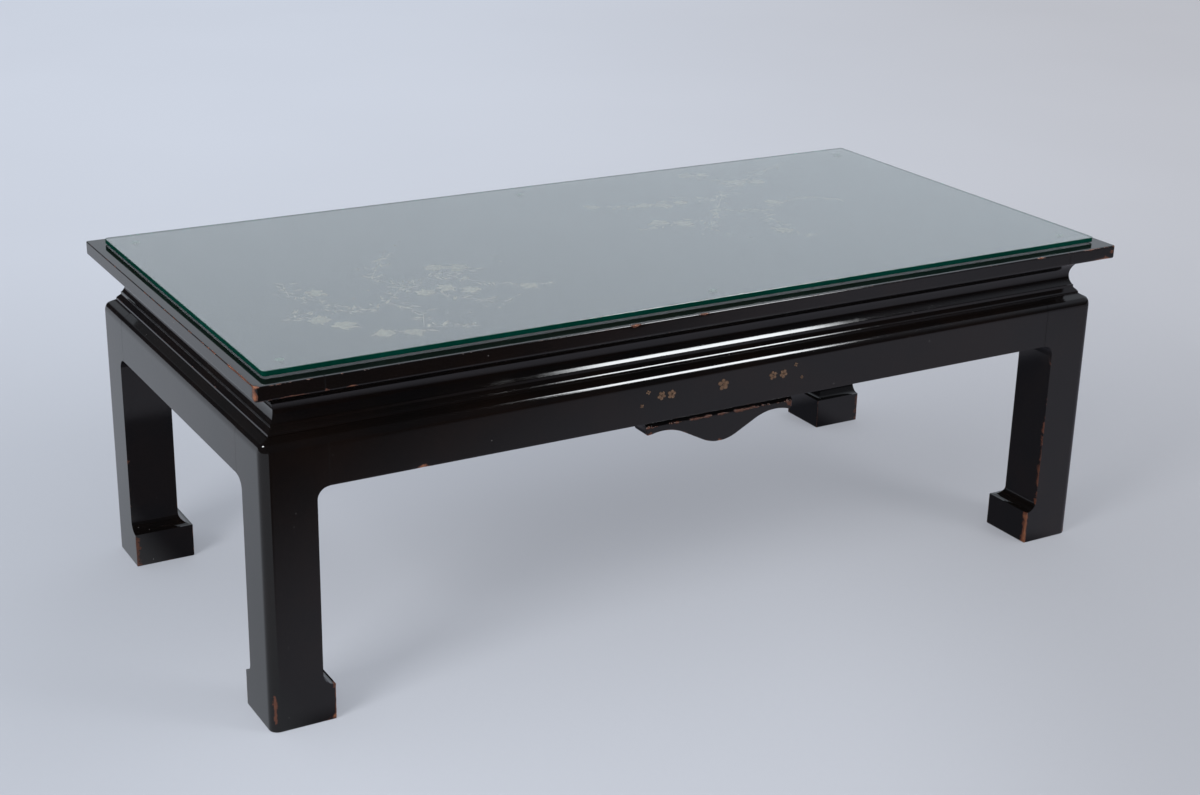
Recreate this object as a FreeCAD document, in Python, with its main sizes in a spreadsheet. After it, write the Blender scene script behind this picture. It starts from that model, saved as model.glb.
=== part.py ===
import FreeCAD, Part
import Sketcher
import os
import re

# Low kang table: legs and aprons under a mitred scotia waist, a framed top and a loose glass sheet.
# Millimetres, +X along the length, +Y to the rear, +Z up, origin on the floor under the middle.

# Driving sizes, each written once and kept in the sheet under its own name
SIZES = {
    # Top
    "top_length": 1150.0,
    "top_depth": 580.0,
    "top_height": 405.0,
    "top_thick": 16.5,
    "top_corner": 3.0,
    "upper_arris": 1.2,
    "lower_arris": 1.8,
    "frame_width": 75.0,
    # Floating panel and its tongue, which the groove of the frame takes
    "panel_thick": 11.0,
    "tongue_thick": 4.5,
    "tongue_long": 8.0,
    "tongue_drop": 3.0,
    "groove_stop": 15.0,
    "fit_gap": 0.25,
    # Dovetail battens under the panel and the screws through their ends
    "batten_width": 40.0,
    "batten_depth": 22.0,
    "batten_end": 265.0,
    "dovetail_depth": 3.0,
    "dovetail_neck": 28.0,
    "dovetail_head": 34.0,
    "screw_shank": 4.5,
    "screw_long": 26.0,
    "screw_head": 8.0,
    "head_thick": 2.5,
    "head_sink": 5.0,
    # Scotia waist and the bead under it, set in from the faces of the frame
    "waist_height": 44.0,
    "waist_inset": 13.0,
    "scotia_radius": 22.5,
    "scotia_set": 12.0,
    "scotia_drop": 28.5,
    "scotia_fillet": 1.5,
    "bead_height": 8.5,
    "bead_inset": 12.8,
    "bead_radius": 6.0,
    # Frame of legs and aprons, and how far the top stands out over its faces
    "end_overhang": 10.0,
    "side_overhang": 19.0,
    "apron_height": 60.0,
    "apron_thick": 34.0,
    "shoulder_radius": 10.0,
    "leg_blank": 74.5,
    "leg_square": 60.5,
    "corner_margin": 0.5,
    "foot_block": 43.5,
    "foot_rise": 14.0,
    "foot_sweep": 14.5,
    "foot_ease": 1.5,
    # Joinery of the frame
    "tenon_thick": 10.0,
    "tenon_long": 30.0,
    "tenon_margin": 10.0,
    "post_square": 20.0,
    "post_long": 8.0,
    "post_gap": 2.0,
    # Shaped drop under each long apron
    "pendant_width": 203.0,
    "pendant_recess": 6.0,
    "pendant_drop": 41.5,
    "quirk_rise": 8.0,
    "quirk_depth": 4.0,
    "back_ease": 3.5,
    "lobe_radius": 50.0,
    "cyma_slope": 27.5,
    "neck_radius": 62.0,
    "neck_place": 78.0,
    "tip_radius": 4.5,
    "dowel_diameter": 8.0,
    "dowel_long": 26.0,
    "dowel_spread": 35.0,
    # Rubbed blocks in the angle between waist and top, the outer ones set in from the frame's corners
    "block_long": 70.0,
    "block_leg": 21.0,
    "block_end": 135.0,
    "block_side": 171.0,
    # Loose glass and its bumper pads
    "glass_end_inset": 17.0,
    "glass_side_inset": 22.0,
    "glass_thick": 6.0,
    "glass_corner": 5.0,
    "glass_bevel": 0.7,
    "bumper_diameter": 10.0,
    "bumper_thick": 1.5,
    "bumper_inset": 30.0,
    # How far every cutting outline runs past the stock
    "cut_overrun": 5.0,
}

# Levels and offsets that follow from the driving sizes
TOP_UNDER = "(top_height - top_thick)"
BEAD_TOP = "(top_height - top_thick - waist_height)"
APRON_TOP = "(top_height - top_thick - waist_height - bead_height)"
APRON_BOTTOM = "(top_height - top_thick - waist_height - bead_height - apron_height)"
FRAME_LENGTH = "(top_length - 2 * end_overhang)"
FRAME_DEPTH = "(top_depth - 2 * side_overhang)"
PANEL_UNDER = "(top_height - panel_thick)"
TONGUE_UNDER = "(top_height - tongue_drop - tongue_thick)"
BATTEN_UNDER = "(top_height - top_thick - batten_depth)"
SCREW_OFFSET = "((side_overhang + apron_thick + frame_width) / 2)"
BATTEN_PLACE = f"({FRAME_LENGTH} / 2 - batten_end)"
BATTEN_PLACES = (f"-{BATTEN_PLACE}", "0", BATTEN_PLACE)
POST_START = "(apron_thick + post_gap)"
HEAD_COVE = "(leg_blank - leg_square)"
RAIL_LENGTH = "(top_length - 2 * frame_width)"
PANEL_DEPTH = "(top_depth - 2 * frame_width)"
DOWEL_OFFSET = "((apron_thick + pendant_recess) / 2)"
DOWEL_LOW = f"({APRON_BOTTOM} - dowel_long / 2)"
GLASS_UNDER = "(top_height + bumper_thick)"

# The length and the depth of the top and of the frame under it
OUTLINES = {"top": ("top_length", "top_depth"), "frame": (FRAME_LENGTH, FRAME_DEPTH)}
# The sides in order, a quarter turn apart, each with what the top and the frame span there
SIDES = (("front", "top_length", FRAME_LENGTH), ("right", "top_depth", FRAME_DEPTH),
         ("rear", "top_length", FRAME_LENGTH), ("left", "top_depth", FRAME_DEPTH))
# The corners in order, a quarter turn apart, each with the signs of its x and y
CORNERS = (("front_left", "-", "-"), ("front_right", "", "-"), ("rear_right", "", ""), ("rear_left", "-", ""))
QUARTER_TURN = 90
NEAR = 1e-4

doc = FreeCAD.newDocument("kang_table")
sheet = doc.addObject("Spreadsheet::Sheet", "sizes")
for row, (alias, number) in enumerate(SIZES.items(), 1):
    sheet.set(f"A{row}", alias)
    sheet.set(f"B{row}", str(number))
    sheet.setAlias(f"B{row}", alias)
doc.recompute()
finished = []


def bound(text):
    """Turn a formula in plain size names into one that reads the sheet."""
    return re.sub(r"\b[a-z]+(?:_[a-z]+)+\b", lambda found: "sizes." + found.group(), text)


def worked_out(text):
    """Return the present value of a formula in size names."""
    return float(sheet.evalExpression(bound(text)))


def finish(piece, name):
    """Give a finished piece the name of its file and keep it for the export."""
    piece.Label = name
    finished.append(piece)


def place(piece, x, y, z="0", quarter=0):
    """Turn a piece by quarter turns about Z and bind its place to the sheet."""
    turn = FreeCAD.Rotation(FreeCAD.Vector(0, 0, 1), quarter * QUARTER_TURN)
    piece.Placement = FreeCAD.Placement(FreeCAD.Vector(), turn)
    for axis, text in (("x", x), ("y", y), ("z", z)):
        piece.setExpression(f"Placement.Base.{axis}", bound(text))


def at_side(outline, quarter, along, inward):
    """Return x and y of a point given along one side and inward from the edge of the top or the frame."""
    length, depth = OUTLINES[outline]
    deep = f"({depth} / 2 - ({inward}))"
    wide = f"({length} / 2 - ({inward}))"
    return ((along, f"-{deep}"), (wide, along), (f"-({along})", deep), (f"-{wide}", f"-({along})"))[quarter]


def arc_between(start, end, radius, side):
    """Return the arc from start to end whose centre lies to the left or the right of the way."""
    half = (end - start).Length / 2
    rise = max(radius * radius - half * half, 0) ** 0.5
    across = FreeCAD.Vector(start.y - end.y, end.x - start.x, 0).normalize()
    if side == "right":
        across = -across
    centre = (start + end) * 0.5 + across * rise
    return Part.Arc(start, centre - across * radius, end)


def draw(sketch, corners):
    """Draw one closed outline with its corners and radii bound to the sheet.

    A corner is (x, y), or (x, y, radius, side) where an arc runs on to the next one.
    """
    points = [FreeCAD.Vector(worked_out(corner[0]), worked_out(corner[1]), 0) for corner in corners]
    ends = []
    for number, corner in enumerate(corners):
        start = points[number]
        end = points[(number + 1) % len(points)]
        if len(corner) == 2:
            edge = sketch.addGeometry(Part.LineSegment(start, end), False)
        else:
            edge = sketch.addGeometry(arc_between(start, end, worked_out(corner[2]), corner[3]), False)
        forward = (sketch.getPoint(edge, 1) - start).Length < NEAR
        ends.append((edge, 1, 2) if forward else (edge, 2, 1))
    for number, corner in enumerate(corners):
        edge, first, last = ends[number]
        next_edge, next_first, _ = ends[(number + 1) % len(ends)]
        sketch.addConstraint(Sketcher.Constraint("Coincident", edge, last, next_edge, next_first))
        for kind, text, value in (("DistanceX", corner[0], points[number].x),
                                  ("DistanceY", corner[1], points[number].y)):
            index = sketch.addConstraint(Sketcher.Constraint(kind, -1, 1, edge, first, value))
            sketch.setExpression(f"Constraints[{index}]", bound(text))
        if len(corner) > 2:
            index = sketch.addConstraint(Sketcher.Constraint("Radius", edge, worked_out(corner[2])))
            sketch.setExpression(f"Constraints[{index}]", bound(corner[2]))


def sketch_on(body, plane, outlines):
    """Sketch closed outlines on one of the body's own origin planes."""
    sketch = body.newObject("Sketcher::SketchObject", "Outline")
    support = [face for face in body.Origin.OriginFeatures if face.Role == plane][0]
    sketch.AttachmentSupport = [(support, "")]
    sketch.MapMode = "FlatFace"
    for corners in outlines:
        draw(sketch, corners)
    return sketch


def pad(body, plane, corners, length):
    """Pad an outline by half the length to each side of its plane."""
    feature = body.newObject("PartDesign::Pad", "Pad")
    feature.Profile = sketch_on(body, plane, [corners])
    feature.SideType = "Symmetric"
    feature.setExpression("Length", bound(length))
    doc.recompute()
    return feature


def cut_through(body, plane, outlines):
    """Cut outlines right through the body, both ways from their plane."""
    feature = body.newObject("PartDesign::Pocket", "Pocket")
    feature.Profile = sketch_on(body, plane, outlines)
    feature.SideType = "Symmetric"
    feature.Type = "ThroughAll"
    doc.recompute()
    return feature


def block(body, kind, low, size):
    """Add or cut a block, kind being AdditiveBox or SubtractiveBox, from its low corner and size."""
    feature = body.newObject(f"PartDesign::{kind}", kind)
    place(feature, *low)
    for side, text in zip(("Length", "Width", "Height"), size):
        feature.setExpression(side, bound(text))
    doc.recompute()
    return feature


def bore(body, x, y, low, diameter, height):
    """Cut an upright round hole from its low end."""
    feature = body.newObject("PartDesign::SubtractiveCylinder", "Bore")
    place(feature, x, y, low)
    feature.setExpression("Radius", bound(f"{diameter} / 2"))
    feature.setExpression("Height", bound(height))
    doc.recompute()
    return feature


def flat_at(edge, axis, level):
    """Tell whether an edge lies wholly at one level of an axis."""
    box = edge.BoundBox
    low, high = {"x": (box.XMin, box.XMax), "y": (box.YMin, box.YMax), "z": (box.ZMin, box.ZMax)}[axis]
    return abs(low - level) < NEAR and abs(high - level) < NEAR


def ease(body, kind, text, wanted):
    """Fillet or chamfer every edge of the body that passes the test wanted."""
    base = body.Tip
    names = [f"Edge{number}" for number, edge in enumerate(base.Shape.Edges, 1) if wanted(edge)]
    feature = body.newObject(f"PartDesign::{kind}", kind)
    feature.Base = (base, names)
    feature.setExpression("Radius" if kind == "Fillet" else "Size", bound(text))
    doc.recompute()
    return feature


def new_body(name):
    """Start the body of one piece."""
    body = doc.addObject("PartDesign::Body", name)
    finish(body, name)
    return body


def upright(kind, x, y, low, diameter, height):
    """Make a loose upright cylinder for a group of like pieces."""
    piece = doc.addObject("Part::Cylinder", kind)
    place(piece, x, y, low)
    piece.setExpression("Radius", bound(f"{diameter} / 2"))
    piece.setExpression("Height", bound(height))
    return piece


def group(name, pieces):
    """Gather like pieces into one node, each still a solid of its own."""
    gathered = doc.addObject("Part::Compound", name)
    gathered.Links = pieces
    finish(gathered, name)


def make_leg(corner, quarter, x_sign, y_sign):
    """Saw one leg from its blank: shaft, cove under the head, foot turned inward, mortises and post.

    The outer corner stands at the body's own origin, with the blank along +X and +Y.
    """
    body = new_body(f"leg_{corner}")
    block(body, "AdditiveBox", ("0", "0", "0"), ("leg_blank", "leg_blank", APRON_TOP))
    shaft_relief = [
        ("leg_blank + cut_overrun", "foot_block"),
        ("leg_blank + cut_overrun", APRON_BOTTOM),
        ("leg_blank", APRON_BOTTOM, HEAD_COVE, "left"),
        ("leg_square", f"{APRON_BOTTOM} - {HEAD_COVE}"),
        ("leg_square", "foot_block + foot_rise", "foot_sweep", "left"),
        ("leg_blank", "foot_block"),
    ]
    cut_through(body, "XZ_Plane", [shaft_relief])
    cut_through(body, "YZ_Plane", [shaft_relief])
    head = worked_out(APRON_TOP)
    ease(body, "Fillet", "shoulder_radius + corner_margin",
         lambda edge: flat_at(edge, "x", 0) and flat_at(edge, "y", 0))
    inner = worked_out("leg_blank")

    def on_shoulder(edge):
        return flat_at(edge, "z", head) and not flat_at(edge, "x", inner) and not flat_at(edge, "y", inner)

    ease(body, "Fillet", "shoulder_radius", on_shoulder)
    ease(body, "Chamfer", "foot_ease", lambda edge: flat_at(edge, "z", 0))
    depth = "tenon_long + fit_gap"
    start = "leg_blank - tenon_long - fit_gap"
    across = "(apron_thick - tenon_thick) / 2"
    low = f"{APRON_BOTTOM} + tenon_margin"
    high = "apron_height - 2 * tenon_margin"
    block(body, "SubtractiveBox", (start, across, low), (depth, "tenon_thick", high))
    block(body, "SubtractiveBox", (across, start, low), ("tenon_thick", depth, high))
    block(body, "AdditiveBox", (POST_START, POST_START, APRON_TOP),
          ("post_square", "post_square", "waist_height + bead_height + post_long"))
    place(body, f"{x_sign}{FRAME_LENGTH} / 2", f"{y_sign}{FRAME_DEPTH} / 2", quarter=quarter)


def make_apron(side, span, quarter):
    """Make one apron with a rounded shoulder and a tenon at each end."""
    body = new_body(f"apron_{side}")
    length = f"({span} - 2 * leg_blank)"
    tenon_low = f"{APRON_BOTTOM} + tenon_margin"
    section = [
        ("0", APRON_BOTTOM),
        ("apron_thick", APRON_BOTTOM),
        ("apron_thick", APRON_TOP),
        ("shoulder_radius", APRON_TOP, "shoulder_radius", "left"),
        ("0", f"{APRON_TOP} - shoulder_radius"),
    ]
    pad(body, "YZ_Plane", section, length)
    block(body, "AdditiveBox",
          (f"-{length} / 2 - tenon_long", "(apron_thick - tenon_thick) / 2", tenon_low),
          (f"{length} + 2 * tenon_long", "tenon_thick", "apron_height - 2 * tenon_margin"))
    if span == FRAME_LENGTH:
        for sign in ("-", ""):
            bore(body, f"{sign}dowel_spread", DOWEL_OFFSET, f"{APRON_BOTTOM} - cut_overrun",
                 "dowel_diameter", "dowel_long / 2 + cut_overrun")
    place(body, *at_side("frame", quarter, "0", "0"), quarter=quarter)


def mitre_both_ends(body, span):
    """Cut a length of moulding at 45 degrees through the corners of the frame."""
    reach = "(apron_thick + cut_overrun)"
    ends = []
    for sign in ("-", ""):
        ends.append([
            (f"{sign}({span} / 2 + cut_overrun)", "-cut_overrun"),
            (f"{sign}({span} / 2 + cut_overrun)", reach),
            (f"{sign}({span} / 2 - {reach})", reach),
        ])
    cut_through(body, "XY_Plane", ends)


def make_bead(side, span, quarter):
    """Make one mitred length of the rounded step that lies on the aprons."""
    body = new_body(f"bead_{side}")
    section = [
        ("apron_thick", APRON_TOP),
        ("apron_thick", BEAD_TOP),
        ("bead_inset + bead_radius", BEAD_TOP, "bead_radius", "left"),
        ("bead_inset", f"{BEAD_TOP} - bead_radius"),
        ("bead_inset", APRON_TOP),
    ]
    pad(body, "YZ_Plane", section, span)
    mitre_both_ends(body, span)
    place(body, *at_side("frame", quarter, "0", "0"), quarter=quarter)


def make_waist(side, span, quarter):
    """Make one mitred length of the waist, hollowed by a scotia under a plain lip."""
    body = new_body(f"waist_{side}")
    centre = "(waist_inset - scotia_set)"
    level = f"({TOP_UNDER} - scotia_drop)"
    foot = f"({BEAD_TOP} + scotia_fillet)"
    foot_set = f"({centre} + sqrt(scotia_radius ^ 2 - ({level} - {foot}) ^ 2))"
    section = [
        ("apron_thick", BEAD_TOP),
        ("apron_thick", TOP_UNDER),
        ("waist_inset", TOP_UNDER),
        ("waist_inset", f"{level} + sqrt(scotia_radius ^ 2 - scotia_set ^ 2)", "scotia_radius", "right"),
        (foot_set, foot),
        (foot_set, BEAD_TOP),
    ]
    pad(body, "YZ_Plane", section, span)
    mitre_both_ends(body, span)
    place(body, *at_side("frame", quarter, "0", "0"), quarter=quarter)


def make_rail(side, quarter):
    """Make a long member of the top with a groove for the panel and a tongue at each end."""
    body = new_body(f"top_rail_{side}")
    section = [
        ("lower_arris", TOP_UNDER),
        ("frame_width", TOP_UNDER),
        ("frame_width", "top_height"),
        ("upper_arris", "top_height", "upper_arris", "left"),
        ("0", "top_height - upper_arris"),
        ("0", f"{TOP_UNDER} + lower_arris", "lower_arris", "left"),
    ]
    pad(body, "YZ_Plane", section, RAIL_LENGTH)
    block(body, "SubtractiveBox",
          (f"-{RAIL_LENGTH} / 2 - cut_overrun", "frame_width - tongue_long - fit_gap", TONGUE_UNDER),
          (f"{RAIL_LENGTH} + 2 * cut_overrun", "tongue_long + fit_gap + cut_overrun", "tongue_thick"))
    stub_width = "frame_width - groove_stop - tongue_long - 2 * fit_gap"
    block(body, "AdditiveBox", (f"-{RAIL_LENGTH} / 2 - tongue_long", "groove_stop + fit_gap", TONGUE_UNDER),
          (f"{RAIL_LENGTH} + 2 * tongue_long", stub_width, "tongue_thick"))
    for step in BATTEN_PLACES:
        bore(body, step, SCREW_OFFSET, f"{TOP_UNDER} - cut_overrun", "screw_shank",
             f"{BATTEN_UNDER} + head_sink + screw_long - {TOP_UNDER} + cut_overrun")
    place(body, *at_side("top", quarter, "0", "0"), quarter=quarter)


def make_top_end(side, span, quarter):
    """Make the end member of the top, which runs the full depth, with its groove and two mortises."""
    body = new_body(f"top_end_{side}")
    block(body, "AdditiveBox", (f"-{span} / 2", "0", TOP_UNDER), (span, "frame_width", "top_thick"))
    ease(body, "Fillet", "top_corner",
         lambda edge: flat_at(edge, "y", 0) and not flat_at(edge, "z", edge.BoundBox.ZMin))
    inner = worked_out("frame_width")
    for level, arris in (("top_height", "upper_arris"), (TOP_UNDER, "lower_arris")):
        height = worked_out(level)
        ease(body, "Fillet", arris, lambda edge: flat_at(edge, "z", height) and not flat_at(edge, "y", inner))
    block(body, "SubtractiveBox",
          (f"-{span} / 2 + groove_stop", "frame_width - tongue_long - fit_gap", TONGUE_UNDER),
          (f"{span} - 2 * groove_stop", "tongue_long + fit_gap + cut_overrun", "tongue_thick"))
    start = f"(side_overhang + {POST_START})"
    for low in (f"{span} / 2 - {start} - post_square", f"{start} - {span} / 2"):
        block(body, "SubtractiveBox", (low, f"end_overhang + {POST_START}", f"{TOP_UNDER} - cut_overrun"),
              ("post_square", "post_square", "post_long + fit_gap + cut_overrun"))
    place(body, *at_side("top", quarter, "0", "0"), quarter=quarter)


def make_panel():
    """Make the flush panel, with a tongue all round and dovetail housings for the battens."""
    body = new_body("top_panel")
    block(body, "AdditiveBox", (f"-{RAIL_LENGTH} / 2", f"-{PANEL_DEPTH} / 2", PANEL_UNDER),
          (RAIL_LENGTH, PANEL_DEPTH, "panel_thick"))
    block(body, "AdditiveBox",
          (f"-{RAIL_LENGTH} / 2 - tongue_long", f"-{PANEL_DEPTH} / 2 - tongue_long", TONGUE_UNDER),
          (f"{RAIL_LENGTH} + 2 * tongue_long", f"{PANEL_DEPTH} + 2 * tongue_long", "tongue_thick"))
    housings = []
    for step in BATTEN_PLACES:
        housings.append([
            (f"{step} - dovetail_neck / 2", f"{PANEL_UNDER}"),
            (f"{step} + dovetail_neck / 2", f"{PANEL_UNDER}"),
            (f"{step} + dovetail_head / 2", f"{PANEL_UNDER} + dovetail_depth"),
            (f"{step} - dovetail_head / 2", f"{PANEL_UNDER} + dovetail_depth"),
        ])
    cut_through(body, "XZ_Plane", housings)


def make_batten(name, step):
    """Make a batten that lies under the rails and slides into the panel's dovetail housing."""
    body = new_body(f"top_batten_{name}")
    lower = [
        ("-batten_width / 2", BATTEN_UNDER),
        ("batten_width / 2", BATTEN_UNDER),
        ("batten_width / 2", TOP_UNDER),
        ("-batten_width / 2", TOP_UNDER),
    ]
    upper = [
        ("-batten_width / 2", TOP_UNDER),
        ("batten_width / 2", TOP_UNDER),
        ("batten_width / 2", PANEL_UNDER),
        ("dovetail_neck / 2", PANEL_UNDER),
        ("dovetail_head / 2", f"{PANEL_UNDER} + dovetail_depth"),
        ("-dovetail_head / 2", f"{PANEL_UNDER} + dovetail_depth"),
        ("-dovetail_neck / 2", PANEL_UNDER),
        ("-batten_width / 2", PANEL_UNDER),
    ]
    pad(body, "XZ_Plane", lower, f"{FRAME_DEPTH} - 2 * apron_thick - 2 * fit_gap")
    pad(body, "XZ_Plane", upper, PANEL_DEPTH)
    for sign in ("-", ""):
        y = f"{sign}(top_depth / 2 - {SCREW_OFFSET})"
        low = f"{BATTEN_UNDER} - cut_overrun"
        bore(body, "0", y, low, "screw_shank", "batten_depth + 2 * cut_overrun")
        bore(body, "0", y, low, "(screw_head + 2 * fit_gap)", "head_sink + cut_overrun")
    place(body, step, "0")


def make_screws():
    """Make the screws that hold the ends of the battens up to the rails."""
    screws = []
    for quarter in (0, 2):
        for step in BATTEN_PLACES:
            x, y = at_side("top", quarter, step, SCREW_OFFSET)
            seat = f"{BATTEN_UNDER} + head_sink"
            shank = upright("Shank", x, y, seat, "screw_shank", "screw_long")
            head = upright("Head", x, y, f"{seat} - head_thick", "screw_head", "head_thick")
            screw = doc.addObject("Part::Fuse", "Screw")
            screw.Base = shank
            screw.Tool = head
            screws.append(screw)
    group("batten_screws", screws)


def make_pendant(side, quarter):
    """Make the shaped drop under a long apron: a cyma lobe between two necks, quirked at the top."""
    body = new_body(f"pendant_{side}")
    half = "(pendant_width / 2)"
    low = f"({APRON_BOTTOM} - pendant_drop)"
    fall = "(1 - cos(cyma_slope))"
    neck_level = (f"({low} + (lobe_radius + neck_radius) * {fall}"
                  " + (neck_place - (lobe_radius + neck_radius) * sin(cyma_slope)) * tan(cyma_slope))")
    tip_x = f"({half} - tip_radius)"
    tip_level = (f"({neck_level} - neck_radius"
                 f" + sqrt((neck_radius + tip_radius) ^ 2 - ({tip_x} - neck_place) ^ 2))")
    part_way = "(neck_radius / (neck_radius + tip_radius))"
    lobe_end = ("lobe_radius * sin(cyma_slope)", f"{low} + lobe_radius * {fall}")
    neck_start = ("neck_place - neck_radius * sin(cyma_slope)", f"{neck_level} - neck_radius * {fall}")
    neck_end = (f"neck_place + ({tip_x} - neck_place) * {part_way}",
                f"{neck_level} - neck_radius + ({tip_level} - {neck_level} + neck_radius) * {part_way}")

    def mirrored(point):
        return (f"-({point[0]})", point[1])

    outline = [
        (*mirrored(lobe_end), "lobe_radius", "left"),
        lobe_end,
        (*neck_start, "neck_radius", "right"),
        (*neck_end, "tip_radius", "left"),
        (half, tip_level),
        (half, APRON_BOTTOM),
        (f"-{half}", APRON_BOTTOM),
        (f"-{half}", tip_level, "tip_radius", "left"),
        (*mirrored(neck_end), "neck_radius", "right"),
        mirrored(neck_start),
    ]
    feature = body.newObject("PartDesign::Pad", "Pad")
    feature.Profile = sketch_on(body, "XZ_Plane", [outline])
    feature.Reversed = True
    feature.setExpression("Length", bound("apron_thick - pendant_recess"))
    doc.recompute()
    top = worked_out(APRON_BOTTOM)
    back = worked_out("apron_thick - pendant_recess")
    shoulder = worked_out(tip_level)
    ease(body, "Fillet", "back_ease",
         lambda edge: flat_at(edge, "y", back) and edge.BoundBox.ZMin < shoulder - NEAR)
    quirk = [
        ("0", f"{APRON_BOTTOM} - quirk_rise"),
        ("quirk_depth", APRON_BOTTOM),
        ("quirk_depth", f"{APRON_BOTTOM} + cut_overrun"),
        ("-cut_overrun", f"{APRON_BOTTOM} + cut_overrun"),
        ("-cut_overrun", f"{APRON_BOTTOM} - quirk_rise"),
    ]
    cut_through(body, "YZ_Plane", [quirk])
    for sign in ("-", ""):
        bore(body, f"{sign}dowel_spread", f"{DOWEL_OFFSET} - pendant_recess", DOWEL_LOW,
             "dowel_diameter", "dowel_long")
    place(body, *at_side("frame", quarter, "0", "pendant_recess"), quarter=quarter)


def make_dowels():
    """Make the dowels between the long aprons and their pendants."""
    dowels = []
    for quarter in (0, 2):
        for sign in ("-", ""):
            x, y = at_side("frame", quarter, f"{sign}dowel_spread", DOWEL_OFFSET)
            dowels.append(upright("Dowel", x, y, DOWEL_LOW, "dowel_diameter", "dowel_long"))
    group("pendant_dowels", dowels)


def make_glue_blocks():
    """Make the three-cornered blocks rubbed into the angle between waist and top."""
    far = f"({FRAME_LENGTH} / 2 - block_end)"
    side = f"({FRAME_DEPTH} / 2 - block_side)"
    long_places = (f"-{far}", f"-{BATTEN_PLACE} / 2", f"{BATTEN_PLACE} / 2", far)
    side_places = (f"-{side}", side)
    blocks = []
    for quarter, (_, _, span) in enumerate(SIDES):
        for along in long_places if span == FRAME_LENGTH else side_places:
            wedge = doc.addObject("Part::Wedge", "GlueBlock")
            for corner in ("Xmin", "X2min", "Ymin", "Zmin"):
                setattr(wedge, corner, 0)
            for corner, text in (("Xmax", "block_long"), ("X2max", "block_long"), ("Ymax", "block_leg"),
                                 ("Zmax", "block_leg"), ("Z2min", "block_leg"), ("Z2max", "block_leg")):
                wedge.setExpression(corner, bound(text))
            x, y = at_side("frame", quarter, f"{along} - block_long / 2", "apron_thick")
            place(wedge, x, y, f"{TOP_UNDER} - block_leg", quarter)
            blocks.append(wedge)
    group("glue_blocks", blocks)


def make_glass():
    """Make the loose glass sheet with rounded corners and a fine bevel all round."""
    body = new_body("glass_sheet")
    length = "(top_length - 2 * glass_end_inset)"
    depth = "(top_depth - 2 * glass_side_inset)"
    low_corner = (f"-{length} / 2", f"-{depth} / 2", GLASS_UNDER)
    block(body, "AdditiveBox", low_corner, (length, depth, "glass_thick"))
    ease(body, "Fillet", "glass_corner", lambda edge: not flat_at(edge, "z", edge.BoundBox.ZMin))
    low = worked_out(GLASS_UNDER)
    high = worked_out(f"{GLASS_UNDER} + glass_thick")
    ease(body, "Chamfer", "glass_bevel", lambda edge: flat_at(edge, "z", low) or flat_at(edge, "z", high))


def make_bumpers():
    """Make the clear bumper pads that keep the glass off the lacquer."""
    far = "(top_length / 2 - glass_end_inset - bumper_inset)"
    deep = "(top_depth / 2 - glass_side_inset - bumper_inset)"
    pads = []
    for x in (f"-{far}", "0", far):
        for y in (f"-{deep}", deep):
            pads.append(upright("Bumper", x, y, "top_height", "bumper_diameter", "bumper_thick"))
    group("glass_pads", pads)


def check_document():
    """Stop where a feature failed, changed nothing or left a shape that is not sound."""
    faults = []
    for item in doc.Objects:
        if "Invalid" in item.State or "Error" in item.State:
            faults.append(f"{item.Label} has failed")
        base = getattr(item, "BaseFeature", None)
        if base is not None and abs(item.Shape.Volume - base.Shape.Volume) < NEAR:
            faults.append(f"{item.Label} changes nothing")
    for piece in finished:
        if piece.Shape.isNull() or not piece.Shape.isValid():
            faults.append(f"{piece.Label} is not a sound shape")
    if faults:
        raise RuntimeError("; ".join(faults))


for turns, (name, x_sign, y_sign) in enumerate(CORNERS):
    make_leg(name, turns, x_sign, y_sign)
for turns, (name, top_span, frame_span) in enumerate(SIDES):
    make_apron(name, frame_span, turns)
    make_bead(name, frame_span, turns)
    make_waist(name, frame_span, turns)
    if frame_span == FRAME_LENGTH:
        make_rail(name, turns)
        make_pendant(name, turns)
    else:
        make_top_end(name, top_span, turns)
make_panel()
for name, step in zip(("left", "middle", "right"), BATTEN_PLACES):
    make_batten(name, step)
make_screws()
make_dowels()
make_glue_blocks()
make_glass()
make_bumpers()
doc.recompute()
check_document()
os.makedirs("parts", exist_ok=True)
for piece in finished:
    piece.Shape.exportStep(f"parts/{piece.Label}.step")
print(len(finished), "nodes written")
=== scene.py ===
"""Looks of a low black lacquered table with a scotia waist, shaped drops and a loose sheet of glass."""

import logging
import math
import random
from collections.abc import Callable, Iterable, Sequence
from dataclasses import dataclass, field
from enum import Enum
from typing import Any

import bmesh
import bpy
import numpy as np
from mathutils import Matrix, Vector, noise

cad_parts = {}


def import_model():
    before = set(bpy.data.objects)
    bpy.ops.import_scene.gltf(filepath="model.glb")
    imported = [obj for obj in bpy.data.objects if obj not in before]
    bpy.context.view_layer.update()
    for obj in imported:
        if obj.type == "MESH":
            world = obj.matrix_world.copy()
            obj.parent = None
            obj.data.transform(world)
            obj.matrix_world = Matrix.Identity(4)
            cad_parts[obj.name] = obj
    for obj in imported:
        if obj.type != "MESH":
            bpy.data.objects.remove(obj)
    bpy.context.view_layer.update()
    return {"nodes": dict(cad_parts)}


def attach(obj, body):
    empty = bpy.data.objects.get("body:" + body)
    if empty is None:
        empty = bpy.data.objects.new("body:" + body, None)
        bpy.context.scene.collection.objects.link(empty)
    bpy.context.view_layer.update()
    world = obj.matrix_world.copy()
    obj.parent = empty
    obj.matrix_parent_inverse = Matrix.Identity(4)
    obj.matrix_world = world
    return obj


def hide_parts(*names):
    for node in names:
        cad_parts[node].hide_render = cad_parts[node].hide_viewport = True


MM = 0.001
LOG = logging.getLogger("table")

Pair = tuple[float, float]
Triple = tuple[float, float, float]
Colour = tuple[float, float, float, float]
Spray = tuple[list[tuple[Pair, float]], list[Pair], list[list[Pair]]]
Piece = bpy.types.Object


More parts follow.
